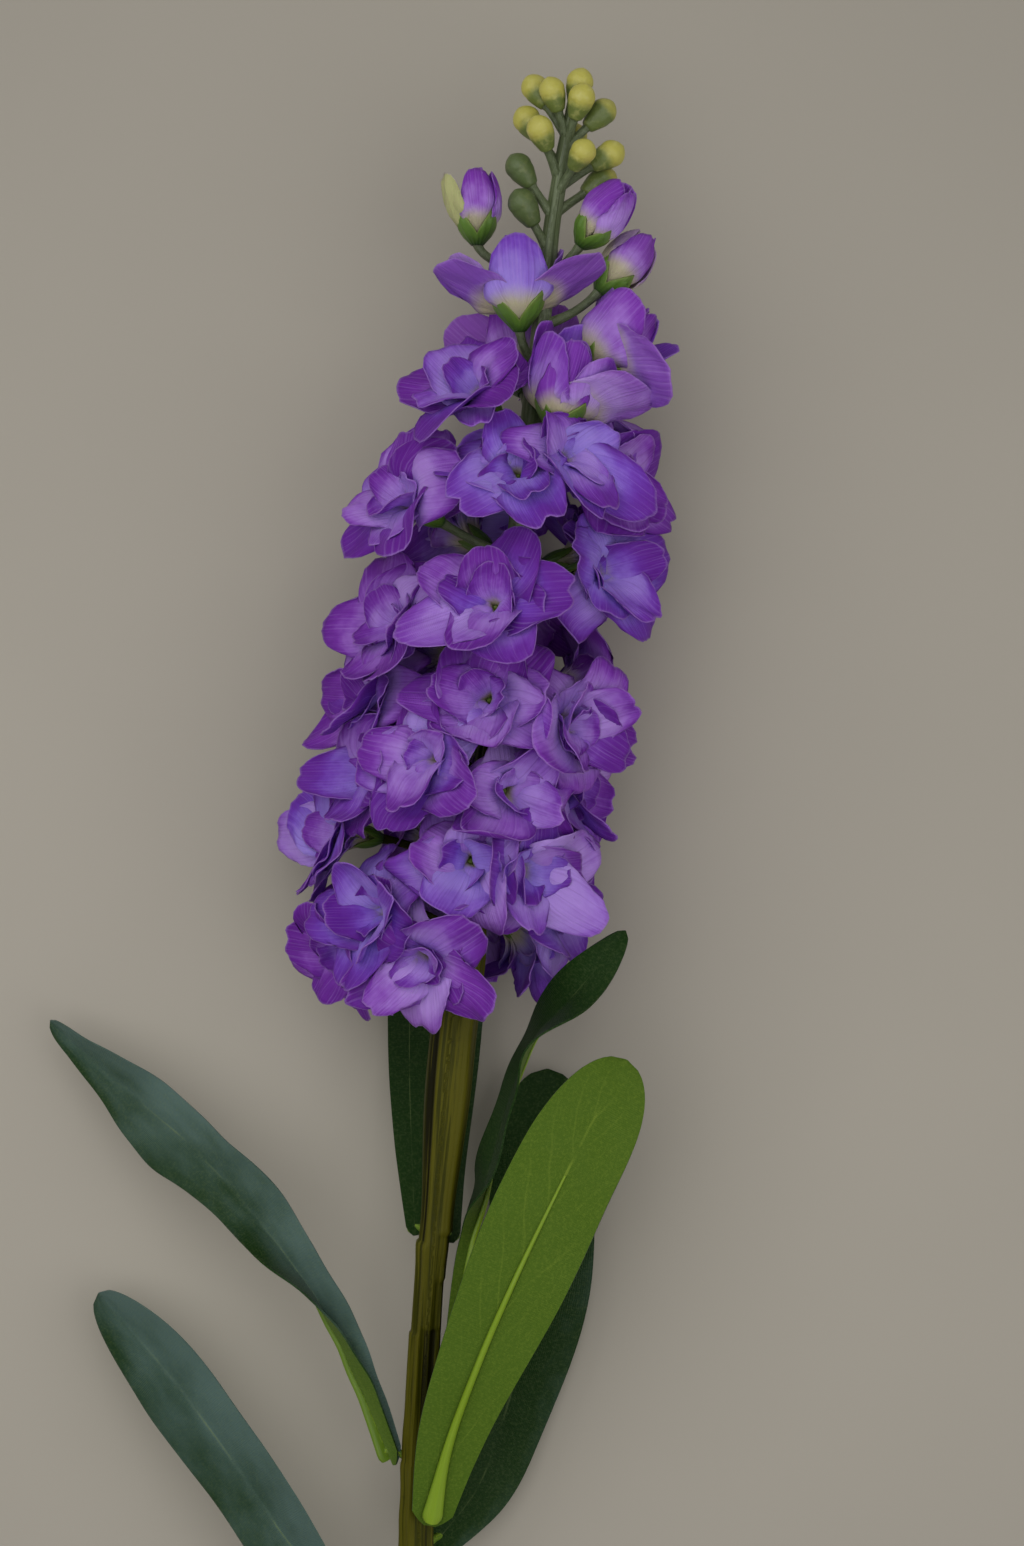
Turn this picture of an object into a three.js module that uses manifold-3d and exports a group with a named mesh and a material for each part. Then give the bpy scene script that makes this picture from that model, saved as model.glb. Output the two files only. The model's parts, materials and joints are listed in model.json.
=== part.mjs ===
// An artificial stock flower stem: a wire-cored plastic stem with clipped-on fabric leaves, and a
// spike of fabric florets on pegs below a moulded sprig of buds. It lies on a table.
//
// Millimetres and degrees. +Y runs from the cut end to the buds, +Z is up from the table, and +X is
// to the right seen from above. Turns are measured round the stem from +Z towards +X.

import * as THREE from "three";
import { mergeVertices } from "three/addons/utils/BufferGeometryUtils.js";
import Module from "manifold-3d";

const wasm = await Module();
wasm.setup();

// Overall sizes
const STEM_LENGTH = 267; // cut end to the foot of the spike
const SPIKE_LENGTH = 228; // foot of the spike to the tip of the sprig
const SPIKE_HEIGHT = 31; // stem's centreline above the table, where the spike begins
const CLEARANCE = 0.3; // gap between separate pieces that touch

// Stem, wire and sprig
const STEM_RADIUS = 3.7;
const COLLAR_RADIUS = 5.2; // the stem thickens below the spike
const NECK_RADIUS = 3.3; // the stem inside the spike
const WIRE_RADIUS = 1.2;
const SOCKET_SHARE = 0.4; // share of the spike at which the sprig plugs into the stem
const SOCKET_DEPTH = 12;
const SPIGOT_RADIUS = 1.5;
const SPRIG_RADIUS = 2.9;
const SPRIG_TIP_RADIUS = 1.5;
const PEG_RADIUS = 1.4;
const PEG_RISE = 9; // a peg leaves the stem this far below its floret's foot
const STEM_SIDES = 8;
const STEM_STEP = 16; // length of one straight facet along the stem

// Florets
const FOOT_RADIUS = 2.2;
const FLORET_SIDES = 12;
const BED_HEIGHT = 3.6; // room under the lowest florets for the two leaves they lie on
const BED_SHARE = 0.27; // share of the spike that lies on those leaves
const FORMS = {
  open: { radius: 23, depth: 15, dome: 9 },
  cup: { radius: 17.5, depth: 20, dome: 6 },
  closed: { radius: 6.6, depth: 13, dome: 4 },
};

// Buds
const BUD_RADIUS = 3.6;
const BUD_LENGTH = 8.6;
const STALK_RADIUS = 1;
const STALK_RISE = 11;

// Leaves
const LEAF_LENGTH = 145;
const LEAF_WIDTH = 29;
const LEAF_THICKNESS = 0.7;
const RIB_SHARE = 0.72; // share of the leaf's length that its rib runs along
const RIB_HALF_WIDTH = 2.6;
const RIB_HALF_DEPTH = 1.2;
const RIB_TIP_SHARE = 0.28; // size of the rib's end against its foot

// Stations of the bent centreline: share of the stem or the spike, distance across, and height as a
// share of the height at which the spike lies.
const STEM_BENDS = [
  [0, 1.5, 0],
  [0.22, 0, 0.18],
  [0.45, -0.5, 0.44],
  [0.73, 3.4, 0.77],
];
const SPIKE_BENDS = [
  [0, 10, 1],
  [0.37, 22.4, 1.06],
  [0.73, 31.6, 1.1],
  [0.88, 35.5, 1.12],
  [1, 40.5, 1.15],
];

// Florets: share of the spike, turn, distance of the throat from the stem, and pitch of the face
// above square to the stem. Rows run from the foot of the spike to its top.
const FLORETS = [
  ["open", 0.0, -88, 32, -26],
  ["open", 0.01, -24, 25, -30],
  ["open", 0.035, 128, 25, -24],
  ["open", 0.05, 178, 25, -12],
  ["open", 0.055, -54, 29, -4],
  ["open", 0.08, 92, 25, -8],
  ["open", 0.12, 40, 24, -10],
  ["open", 0.125, -2, 23, -2],
  ["open", 0.13, -95, 39, -2],
  ["open", 0.14, -142, 28, 0],
  ["open", 0.16, 158, 26, 0],
  ["open", 0.21, 20, 22, 0],
  ["open", 0.205, -82, 33, -2],
  ["open", 0.225, 102, 25, 0],
  ["open", 0.232, -40, 26, -4],
  ["open", 0.262, -165, 26, 4],
  ["open", 0.292, 60, 25, 4],
  ["open", 0.29, -88, 35, 4],
  ["open", 0.312, -10, 19, 8],
  ["open", 0.335, 128, 27, 5],
  ["open", 0.36, -132, 28, 8],
  ["open", 0.382, -80, 31, 12],
  ["open", 0.42, -12, 24, 14],
  ["open", 0.43, 176, 26, 8],
  ["open", 0.47, 80, 26, 8],
  ["open", 0.49, 128, 26, 14],
  ["open", 0.505, -138, 27, 18],
  ["open", 0.528, -74, 33, 24],
  ["open", 0.578, 90, 24, 12],
  ["open", 0.595, 38, 20, 18],
  ["open", 0.575, -6, 22, 24],
  ["open", 0.59, 176, 24, 22],
  ["open", 0.665, -62, 19, 42],
  ["open", 0.65, 125, 20, 32],
  ["cup", 0.705, 42, 14, 76],
  ["cup", 0.752, 84, 26, 48],
  ["cup", 0.818, -52, 11, 78],
  ["cup", 0.735, -160, 19, 54],
  ["closed", 0.835, 95, 22, 54],
  ["closed", 0.88, -92, 21, 80],
  ["closed", 0.888, 76, 15, 60],
];

// Buds: share of the spike, turn and distance of the bud's middle from the sprig.
const BUDS = [
  [0.875, -70, 8.8],
  [0.915, -86, 10.8],
  [0.919, 112, 12],
  [0.942, 35, 8.4],
  [0.949, 92, 11.9],
  [0.958, -50, 9.3],
  [0.965, 170, 9],
  [0.97, -106, 11.5],
  [0.994, 100, 7.9],
  [1.002, 20, 5.4],
  [1.005, -62, 6.8],
  [1.008, -108, 11.2],
  [1.021, 90, 0.6],
];

// Leaves: share of the stem and turn at which each is clipped on, its roll there, its share of the full
// width, its fold along the rib, and its route as [across, along, up, roll]. Along counts from the clip,
// and across and up from the stem's centreline. A roll of 180 turns a leaf face down. A side moves a
// leaf over by half its width, so that two of them lie beside each other.
const LEAVES = {
  left_low: {
    at: 0.248, turn: -80, roll: 30, width: 0.86, fold: 38, side: 0,
    route: [[-15.9, 18, 2.3, 24], [-25.8, 34, 2.4, 14], [-37.3, 50, 1.4, 4], [-51.9, 70, -3, -4],
      [-69.4, 91, -10.6, -4], [-89.7, 112, -18.2, 0]],
  },
  right_back: {
    at: 0.41, turn: 152, roll: -12, width: 1.02, fold: 6, side: 0,
    route: [[15.2, 15, -12.4, -10], [22, 35, -17.9, -7], [26.3, 57, -22.6, -4], [28.3, 80, -26.3, -2],
      [28.1, 103, -29.2, 0], [26.9, 128, -31.5, 0]],
  },
  right_front: {
    at: 0.446, turn: 22, roll: 172, width: 0.96, fold: -8, side: 0,
    route: [[7.1, 22, 10.2, 174], [14.4, 46, 14.2, 177], [22.4, 68, 16.6, 181], [30.9, 89, 16.4, 184],
      [38.5, 107, 13.6, 184], [46.8, 125, 9, 182]],
  },
  left_high: {
    at: 0.5, turn: -82, roll: 68, width: 0.76, fold: 50, side: 0,
    route: [[-17.9, 23, 2.1, 44], [-30.8, 46, 1.3, 16], [-48.3, 67, -3, -6], [-66.6, 85, -8.8, 4],
      [-90.2, 103, -17.5, -10], [-108.7, 118, -24.7, -8]],
  },
  right_twisted: {
    at: 0.528, turn: 46, roll: 178, width: 0.78, fold: 12, side: 0,
    route: [[7.4, 26, 5, 172], [9.8, 52, 4.4, 152], [13.2, 71, 4.4, 118], [17.2, 92, 4.6, 94],
      [22.5, 108.5, 6, 80], [32.2, 121, 7.7, 40], [42.7, 137, 8.9, 6]],
  },
  under_left: {
    at: 0.727, turn: -138, roll: 16, width: 0.42, fold: 4, side: -1,
    route: [[-1.7, 22, -16.8, 8], [-4.9, 48, -28.2, 0], [-7, 76, -32, 0], [-7.3, 106, -33, 0]],
  },
  under_right: {
    at: 0.722, turn: 140, roll: -16, width: 0.42, fold: 4, side: 1,
    route: [[-3.5, 22, -16.9, -8], [-3.8, 48, -28.3, 0], [-4.3, 76, -32.2, 0], [-4.6, 106, -33.3, 0]],
  },
};
const ROUTE_LEAF_LENGTH = 145; // the leaf length that the routes above are laid out for
const ROUTE_STEM_RADIUS = 3.7; // the stem radius that they clear
const LEAF_CELLS = [4, 12]; // across and along

const COLOURS = {
  stem: [0x6a641f, 0.55, 0],
  wire: [0x8d8f90, 0.35, 1],
  sprig: [0x5c6b45, 0.5, 0],
  petals: [0x7a45b4, 0.8, 0],
  leaf: [0x2f4a2c, 0.7, 0],
  rib: [0x93a92f, 0.5, 0],
};

const radians = THREE.MathUtils.degToRad;
const lerp = THREE.MathUtils.lerp;

// ---- The centreline ----

const centreline = new THREE.CatmullRomCurve3(
  [
    ...STEM_BENDS.map(([share, across, rise]) =>
      new THREE.Vector3(across, share * STEM_LENGTH, lerp(STEM_RADIUS, SPIKE_HEIGHT, rise))),
    ...SPIKE_BENDS.map(([share, across, rise]) =>
      new THREE.Vector3(across, STEM_LENGTH + share * SPIKE_LENGTH, SPIKE_HEIGHT * rise)),
  ],
  false,
  "centripetal",
);

// The centreline's point at a distance along Y, with its directions along, up and to the side. Past
// either end it runs on straight.
function axisAt(y) {
  let [low, high] = [0, 1];
  for (let i = 0; i < 40; i++) {
    const middle = (low + high) / 2;
    if (centreline.getPoint(middle).y < y) low = middle;
    else high = middle;
  }
  const along = centreline.getTangent(low);
  const point = centreline.getPoint(low);
  point.addScaledVector(along, (y - point.y) / along.y);
  const side = new THREE.Vector3().crossVectors(along, new THREE.Vector3(0, 0, 1));
  side.normalize();
  const up = new THREE.Vector3().crossVectors(side, along);
  return { point, along, up, side };
}

const spikeY = (share) => STEM_LENGTH + share * SPIKE_LENGTH;

// The direction square to the centreline at a turn round it.
function outward(axis, turn) {
  return axis.up.clone().multiplyScalar(Math.cos(radians(turn)))
    .addScaledVector(axis.side, Math.sin(radians(turn)));
}

// ---- Solids ----

// A closed geometry as a manifold-3d solid.
function solid(geometry) {
  const bare = geometry.clone();
  for (const name of ["normal", "uv"]) bare.deleteAttribute(name);
  const merged = mergeVertices(bare, 1e-4);
  return new wasm.Manifold(
    new wasm.Mesh({
      numProp: 3,
      vertProperties: new Float32Array(merged.attributes.position.array),
      triVerts: new Uint32Array(merged.index.array),
    }),
  );
}

function geometryOf(manifold) {
  const { vertProperties, triVerts } = manifold.getMesh();
  return new THREE.BufferGeometry()
    .setAttribute("position", new THREE.BufferAttribute(new Float32Array(vertProperties), 3))
    .setIndex(new THREE.BufferAttribute(new Uint32Array(triVerts), 1));
}

const joined = (solids) => solids.reduce((all, next) => all.add(next));

// A geometry with each vertex moved to where place(x, y, z) puts it.
function shaped(geometry, place) {
  const at = geometry.attributes.position;
  for (let i = 0; i < at.count; i++) {
    at.setXYZ(i, ...place(at.getX(i), at.getY(i), at.getZ(i)).toArray());
  }
  return geometry;
}

// A rod along the centreline from one distance to another. Its facets start at the cut end, so that
// rods and bores on the same stretch have the same bends.
function centreRod(from, to, radiusAt, sides = STEM_SIDES) {
  const steps = Math.max(1, Math.round((to - from) / STEM_STEP));
  return shaped(new THREE.CylinderGeometry(1, 1, 1, sides, steps), (x, y, z) => {
    const along = lerp(from, to, y + 0.5);
    const axis = axisAt(along);
    const radius = radiusAt(along);
    return axis.point.addScaledVector(axis.side, x * radius).addScaledVector(axis.up, z * radius);
  });
}

// A straight tapered rod between two points.
function rod(from, to, radiusFrom, radiusTo, sides = 6) {
  const run = new THREE.Vector3().subVectors(to, from);
  const geometry = new THREE.CylinderGeometry(radiusTo, radiusFrom, run.length(), sides);
  geometry.translate(0, run.length() / 2, 0);
  return geometry.applyMatrix4(stoodOn(from, run));
}

// The matrix that stands a shape made round +Y on a point, facing a direction.
function stoodOn(point, direction) {
  const turn = new THREE.Quaternion().setFromUnitVectors(
    new THREE.Vector3(0, 1, 0),
    direction.clone().normalize(),
  );
  return new THREE.Matrix4().compose(point, turn, new THREE.Vector3(1, 1, 1));
}

// A turned shape from [radius, height] points that start and end on its axis.
function turned(profile, sides) {
  return new THREE.LatheGeometry(profile.map(([r, h]) => new THREE.Vector2(r, h)), sides);
}

// ---- Leaves ----

// A leaf blade's half width at a share of its length: a narrow foot, widest past the middle, and a
// round tip.
function halfWidth(leaf, v) {
  const grown = 0.36 + 0.64 * Math.sin((Math.PI / 2) * Math.min(1, v / 0.64));
  const past = Math.max(0, (v - 0.74) / 0.26);
  return (LEAF_WIDTH / 2) * leaf.width * grown * Math.max(0.2, Math.sqrt(1 - past ** 2.4));
}

const ribSize = (v) => lerp(1, RIB_TIP_SHARE, Math.min(1, v / RIB_SHARE));

// The middle surface of a leaf at u from -1 to 1 across and v from 0 to 1 along, with its normal on
// the upper side.
function leafSurface(leaf) {
  const axis = axisAt(leaf.at * STEM_LENGTH);
  const reach = STEM_RADIUS + 2 * CLEARANCE + 2 * RIB_HALF_DEPTH + LEAF_THICKNESS;
  const out = outward(axis, leaf.turn);
  const foot = axis.point.clone().addScaledVector(out, reach);
  const scale = LEAF_LENGTH / ROUTE_LEAF_LENGTH;
  const over = (leaf.side * leaf.width * LEAF_WIDTH) / 2;
  const stations = leaf.route.map(([across, along, up]) => {
    const { point } = axisAt(foot.y + along * scale);
    point.addScaledVector(out, STEM_RADIUS - ROUTE_STEM_RADIUS);
    return point.add(new THREE.Vector3(across * scale + over, 0, up * scale));
  });
  const route = new THREE.CatmullRomCurve3([foot, ...stations]);
  const rolls = new THREE.SplineCurve(
    [leaf.roll, ...leaf.route.map(([, , , roll]) => roll)].map(
      (roll, i) => new THREE.Vector2(i / leaf.route.length, roll),
    ),
  );
  return (u, v) => {
    const point = route.getPoint(v);
    const along = route.getTangent(v);
    const level = new THREE.Vector3().crossVectors(along, new THREE.Vector3(0, 0, 1)).normalize();
    const roll = radians(rolls.getPoint(v).y);
    const side = level.clone().applyAxisAngle(along, -roll);
    const normal = new THREE.Vector3().crossVectors(side, along);
    const fold = radians(leaf.fold);
    const out = u * halfWidth(leaf, v);
    point.addScaledVector(side, out * Math.cos(fold));
    point.addScaledVector(normal, Math.abs(out) * Math.sin(fold));
    const lowest = LEAF_THICKNESS / 2 + (v < RIB_SHARE ? CLEARANCE + 2 * RIB_HALF_DEPTH * ribSize(v) : 0);
    point.z = Math.max(point.z, lowest);
    return { point, normal, side };
  };
}

// A plate whose top and underside are split along the same diagonals, so that they can't cross
// each other where a leaf twists.
function plate() {
  const flat = new THREE.BoxGeometry(1, 1, 1, ...LEAF_CELLS, 1);
  const underside = flat.groups[5];
  for (let i = underside.start; i < underside.start + underside.count; i += 6) {
    const [a, b, d, , c] = [0, 1, 2, 3, 4].map((k) => flat.index.getX(i + k));
    [a, b, c, a, c, d].forEach((corner, k) => flat.index.setX(i + k, corner));
  }
  return flat;
}

// The blade: a thin plate bent along the leaf's surface, grown by a margin on every side.
function blade(leaf, margin = 0) {
  const surface = leafSurface(leaf);
  const half = LEAF_THICKNESS / 2 + margin;
  return shaped(plate(), (x, y, z) => {
    const { point, normal, side } = surface(2 * x, y + 0.5);
    return point.addScaledVector(normal, 2 * z * half).addScaledVector(side, 2 * x * margin);
  });
}

// The rib: a tapered bar under the blade, from the clip at the stem.
function rib(leaf, margin = 0) {
  const surface = leafSurface(leaf);
  return shaped(new THREE.CylinderGeometry(1, 1, 1, 6, LEAF_CELLS[1] - 2), (x, y, z) => {
    const v = (y + 0.5) * RIB_SHARE;
    const { point, normal, side } = surface(0, v);
    const depth = RIB_HALF_DEPTH * ribSize(v);
    const drop = LEAF_THICKNESS / 2 + CLEARANCE + depth;
    return point
      .addScaledVector(side, x * (RIB_HALF_WIDTH * ribSize(v) + margin))
      .addScaledVector(normal, -drop + z * (depth + margin));
  });
}

// ---- Florets ----

// Where a floret stands: its foot, throat and facing, and the point where its peg leaves the stem.
function placed([form, share, turn, reach, pitch]) {
  const axis = axisAt(spikeY(share));
  const out = outward(axis, turn);
  const facing = out.clone().multiplyScalar(Math.cos(radians(pitch)))
    .addScaledVector(axis.along, Math.sin(radians(pitch)));
  const throat = axis.point.addScaledVector(out, reach);
  const foot = throat.clone().addScaledVector(facing, -FORMS[form].depth);
  const root = axisAt(rootY(foot.y)).point;
  return { ...FORMS[form], form, foot, facing, throat, root };
}

// How far along its peg starts: below the foot, and clear of the socket between stem and sprig.
function rootY(footY) {
  const low = Math.max(spikeY(-0.01), footY - PEG_RISE);
  return low > socketY - PEG_RISE ? Math.max(low, socketY + 2 * PEG_RADIUS) : low;
}

// The convex room that a floret's petals fill, before its neighbours press on it.
function room({ form, radius, depth, dome, foot, facing }) {
  const profiles = {
    open: [[0, 0], [FOOT_RADIUS, 0], [radius * 0.8, depth * 0.62], [radius, depth],
      [radius * 0.66, depth + dome], [0, depth + dome * 1.3]],
    cup: [[0, 0], [FOOT_RADIUS, 0], [radius * 0.66, depth * 0.3], [radius, depth * 0.85],
      [radius * 0.7, depth + dome], [0, depth + dome]],
    closed: [[0, 0], [FOOT_RADIUS, 0], [radius, depth * 0.34], [radius, depth * 0.66],
      [radius * 0.4, depth + dome], [0, depth + dome]],
  };
  return solid(turned(profiles[form], FLORET_SIDES).applyMatrix4(stoodOn(foot, facing)));
}

// The nearest points of two segments, by stepping between the two lines.
function nearest(a, b) {
  const [first, second] = [new THREE.Line3(a.foot, a.throat), new THREE.Line3(b.foot, b.throat)];
  const [onFirst, onSecond] = [a.throat.clone(), b.throat.clone()];
  for (let i = 0; i < 24; i++) {
    second.closestPointToPoint(onFirst, true, onSecond);
    first.closestPointToPoint(onSecond, true, onFirst);
  }
  return [onFirst, onSecond];
}

const CUTTER = 400; // a cutting block larger than any floret

// A block that fills everything beyond a plane.
function beyond(point, normal) {
  const block = new THREE.BoxGeometry(CUTTER, CUTTER, CUTTER);
  block.translate(0, CUTTER / 2, 0);
  return solid(block.applyMatrix4(stoodOn(point, normal)));
}

// A floret's room, pressed flat where it meets its neighbours and the table.
function pressed(floret, all) {
  let body = room(floret);
  const extent = floret.radius + floret.depth;
  for (const other of all) {
    if (other === floret) continue;
    const [mine, theirs] = nearest(floret, other);
    const away = new THREE.Vector3().subVectors(theirs, mine);
    if (away.length() > 2 * extent) continue;
    const edge = mine.clone().addScaledVector(away, 0.5).addScaledVector(away.normalize(), -CLEARANCE);
    body = body.subtract(beyond(edge, away));
  }
  const bedded = floret.throat.y < spikeY(BED_SHARE);
  const table = new THREE.Vector3(0, 0, bedded ? BED_HEIGHT : 0);
  return body.subtract(beyond(table, new THREE.Vector3(0, 0, -1)));
}

// What is left of a solid once keep-outs are cut from it: the piece with the most volume.
function cutClear(body, keepOuts) {
  const cut = keepOuts.reduce((left, tool) => left.subtract(tool), body);
  return cut.decompose().reduce((most, next) => (next.volume() > most.volume() ? next : most));
}

// ---- Stem and sprig ----

const socketY = spikeY(SOCKET_SHARE);

function stemRadius(y) {
  const collarFrom = STEM_LENGTH * 0.74;
  const collarTo = STEM_LENGTH * 0.9;
  if (y < collarTo) {
    return lerp(STEM_RADIUS, COLLAR_RADIUS, THREE.MathUtils.smoothstep(y, collarFrom, collarTo));
  }
  return lerp(COLLAR_RADIUS, NECK_RADIUS, THREE.MathUtils.smoothstep(y, STEM_LENGTH, spikeY(0.12)));
}

const sprigRadius = (y) => lerp(SPRIG_RADIUS, SPRIG_TIP_RADIUS, (y - socketY) / (spikeY(1) - socketY));

// A peg from the stem to just short of a floret's foot.
function peg({ root, foot, facing }, grown = 0) {
  const end = foot.clone().addScaledVector(facing, -(PEG_RADIUS + CLEARANCE));
  return solid(rod(root, end, PEG_RADIUS * 1.2 + grown, PEG_RADIUS + grown));
}

// A bud with its stalk, moulded with the sprig.
function bud([share, turn, reach], grown = 0) {
  const axis = axisAt(spikeY(share));
  const middle = axis.point.clone().addScaledVector(outward(axis, turn), reach);
  const root = axisAt(spikeY(share) - STALK_RISE).point;
  const facing = new THREE.Vector3().subVectors(middle, root).normalize();
  const foot = middle.clone().addScaledVector(facing, -BUD_LENGTH / 2);
  const r = BUD_RADIUS + grown;
  const profile = [[0, -grown], [STALK_RADIUS + grown, 0], [r * 0.9, BUD_LENGTH * 0.4],
    [r, BUD_LENGTH * 0.62], [r * 0.62, BUD_LENGTH * 0.93], [0, BUD_LENGTH + grown]];
  return solid(turned(profile, 8).applyMatrix4(stoodOn(foot, facing)))
    .add(solid(rod(root, middle, STALK_RADIUS + grown, STALK_RADIUS + grown)));
}

const florets = FLORETS.map(placed);
const fromStem = florets.filter(({ root }) => root.y < socketY);
const fromSprig = florets.filter((floret) => !fromStem.includes(floret));
const boreEnd = socketY - SOCKET_DEPTH - 2 * SPIGOT_RADIUS;

function mainStem(grown = 0) {
  return joined([
    solid(centreRod(0, socketY, (y) => stemRadius(y) + grown)),
    ...fromStem.map((floret) => peg(floret, grown)),
  ]);
}

function sprig(grown = 0) {
  return joined([
    solid(centreRod(socketY + CLEARANCE, spikeY(1), (y) => sprigRadius(y) + grown)),
    ...fromSprig.map((floret) => peg(floret, grown)),
    ...BUDS.map((row) => bud(row, grown)),
  ]);
}

// The bore for the wire runs on past the cut end, so that it opens there.
const bore = () => solid(centreRod(-1, boreEnd, () => WIRE_RADIUS + CLEARANCE, 8));
const socket = () =>
  solid(centreRod(socketY - SOCKET_DEPTH, socketY + 1, () => SPIGOT_RADIUS + CLEARANCE, 8));
const spigot = () =>
  solid(centreRod(socketY - SOCKET_DEPTH + CLEARANCE, socketY + 2, () => SPIGOT_RADIUS, 8));

// ---- The parts ----

const group = new THREE.Group();
const [stemGroup, leafGroup, spikeGroup] = [new THREE.Group(), new THREE.Group(), new THREE.Group()];
group.add(stemGroup, leafGroup, spikeGroup);

// Adds a mesh to a group, with its own origin at an anchor point.
function addPart(parent, name, geometry, anchor, [color, roughness, metalness]) {
  const mesh = new THREE.Mesh(
    geometry.translate(-anchor.x, -anchor.y, -anchor.z),
    new THREE.MeshStandardMaterial({ color, roughness, metalness }),
  );
  mesh.name = name;
  mesh.position.copy(anchor);
  parent.add(mesh);
}

const cutEnd = axisAt(0).point;
addPart(stemGroup, "main_stem", geometryOf(mainStem().subtract(bore()).subtract(socket())), cutEnd,
  COLOURS.stem);
addPart(stemGroup, "core_wire", centreRod(0, boreEnd - CLEARANCE, () => WIRE_RADIUS, 8), cutEnd,
  COLOURS.wire);
addPart(spikeGroup, "flower_sprig", geometryOf(sprig().add(spigot())), axisAt(socketY).point,
  COLOURS.sprig);

for (const [name, leaf] of Object.entries(LEAVES)) {
  const clip = axisAt(leaf.at * STEM_LENGTH).point;
  addPart(leafGroup, `leaf_${name}`, blade(leaf), clip, COLOURS.leaf);
  addPart(leafGroup, `rib_${name}`, rib(leaf), clip, COLOURS.rib);
}

const keepOuts = [
  mainStem(CLEARANCE),
  sprig(CLEARANCE),
  ...Object.values(LEAVES).flatMap((leaf) => [solid(blade(leaf, CLEARANCE)), solid(rib(leaf, CLEARANCE))]),
];
florets.forEach((floret, i) => {
  const body = cutClear(pressed(floret, florets), keepOuts);
  const name = `floret_${String(i + 1).padStart(2, "0")}`;
  addPart(spikeGroup, name, geometryOf(body), floret.foot, COLOURS.petals);
});

// The origin is under the middle of the whole stem, on the table.
const box = new THREE.Box3().setFromObject(group);
const middle = box.getCenter(new THREE.Vector3());
group.position.set(-middle.x, -middle.y, -box.min.z);

export default group;
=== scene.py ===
"""The look of an artificial stock flower stem that lies on a table.

Fabric petals in moulded calyces crowd round a wired plastic stem, below a moulded sprig of buds and
above seven clip-on fabric leaves. Each piece, and the stage, has its own operator in the sidebar.
"""

import json
import math

import bpy
import numpy as np
from bpy.props import FloatProperty, FloatVectorProperty, IntProperty, PointerProperty
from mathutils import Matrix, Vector

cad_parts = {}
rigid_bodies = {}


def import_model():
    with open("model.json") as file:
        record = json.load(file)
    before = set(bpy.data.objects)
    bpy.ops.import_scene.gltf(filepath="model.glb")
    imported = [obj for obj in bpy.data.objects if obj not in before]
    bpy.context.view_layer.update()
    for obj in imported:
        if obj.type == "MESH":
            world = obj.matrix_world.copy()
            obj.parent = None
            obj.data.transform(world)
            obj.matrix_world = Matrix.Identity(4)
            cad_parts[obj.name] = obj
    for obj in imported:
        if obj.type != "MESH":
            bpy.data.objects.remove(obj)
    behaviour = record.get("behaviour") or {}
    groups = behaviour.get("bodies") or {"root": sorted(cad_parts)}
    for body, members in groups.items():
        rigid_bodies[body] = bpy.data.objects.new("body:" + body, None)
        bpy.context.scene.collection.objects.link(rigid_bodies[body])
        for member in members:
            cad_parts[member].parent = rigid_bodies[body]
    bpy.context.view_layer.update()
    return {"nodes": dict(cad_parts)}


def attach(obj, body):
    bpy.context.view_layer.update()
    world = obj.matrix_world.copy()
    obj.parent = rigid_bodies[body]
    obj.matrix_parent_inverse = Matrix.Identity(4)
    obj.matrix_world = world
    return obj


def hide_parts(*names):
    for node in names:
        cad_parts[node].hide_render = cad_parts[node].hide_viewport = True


bl_info = {
    "name": "Stock Flower Stem",
    "version": (1, 0, 0),
    "blender": (4, 5, 0),
    "location": "View3D > Sidebar > Stock",
    "description": "Petals, leaves, stem and buds of an artificial stock flower",
    "category": "Add Mesh",
}

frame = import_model()
MM = 0.001
UP = np.array([0.0, 0.0, 1.0])

# ---- The stem's plan, in millimetres, as the solid model has it ----

STEM_LENGTH = 267.0
SPIKE_LENGTH = 228.0
SPIKE_HEIGHT = 31.0
STEM_RADIUS = 3.7
COLLAR_RADIUS = 5.2
NECK_RADIUS = 3.3
SOCKET_SHARE = 0.4
SPRIG_RADIUS = 2.9
SPRIG_TIP_RADIUS = 1.5
PEG_RADIUS = 1.4
PEG_RISE = 9.0
BED_HEIGHT = 3.6
BED_SHARE = 0.27
BUD_LENGTH = 8.6
STALK_RISE = 11.0
LEAF_WIDTH = 29.0
LEAF_THICKNESS = 0.7
RIB_SHARE = 0.72
RIB_HALF_DEPTH = 1.2

# Stations of the centreline: share of the stem or spike, distance across, share of the height.
STEM_BENDS = [(0, 1.5, 0), (0.22, 0, 0.18), (0.45, -0.5, 0.44), (0.73, 3.4, 0.77)]
SPIKE_BENDS = [(0, 10, 1), (0.37, 22.4, 1.06), (0.73, 31.6, 1.1), (0.88, 35.5, 1.12), (1, 40.5, 1.15)]

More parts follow.
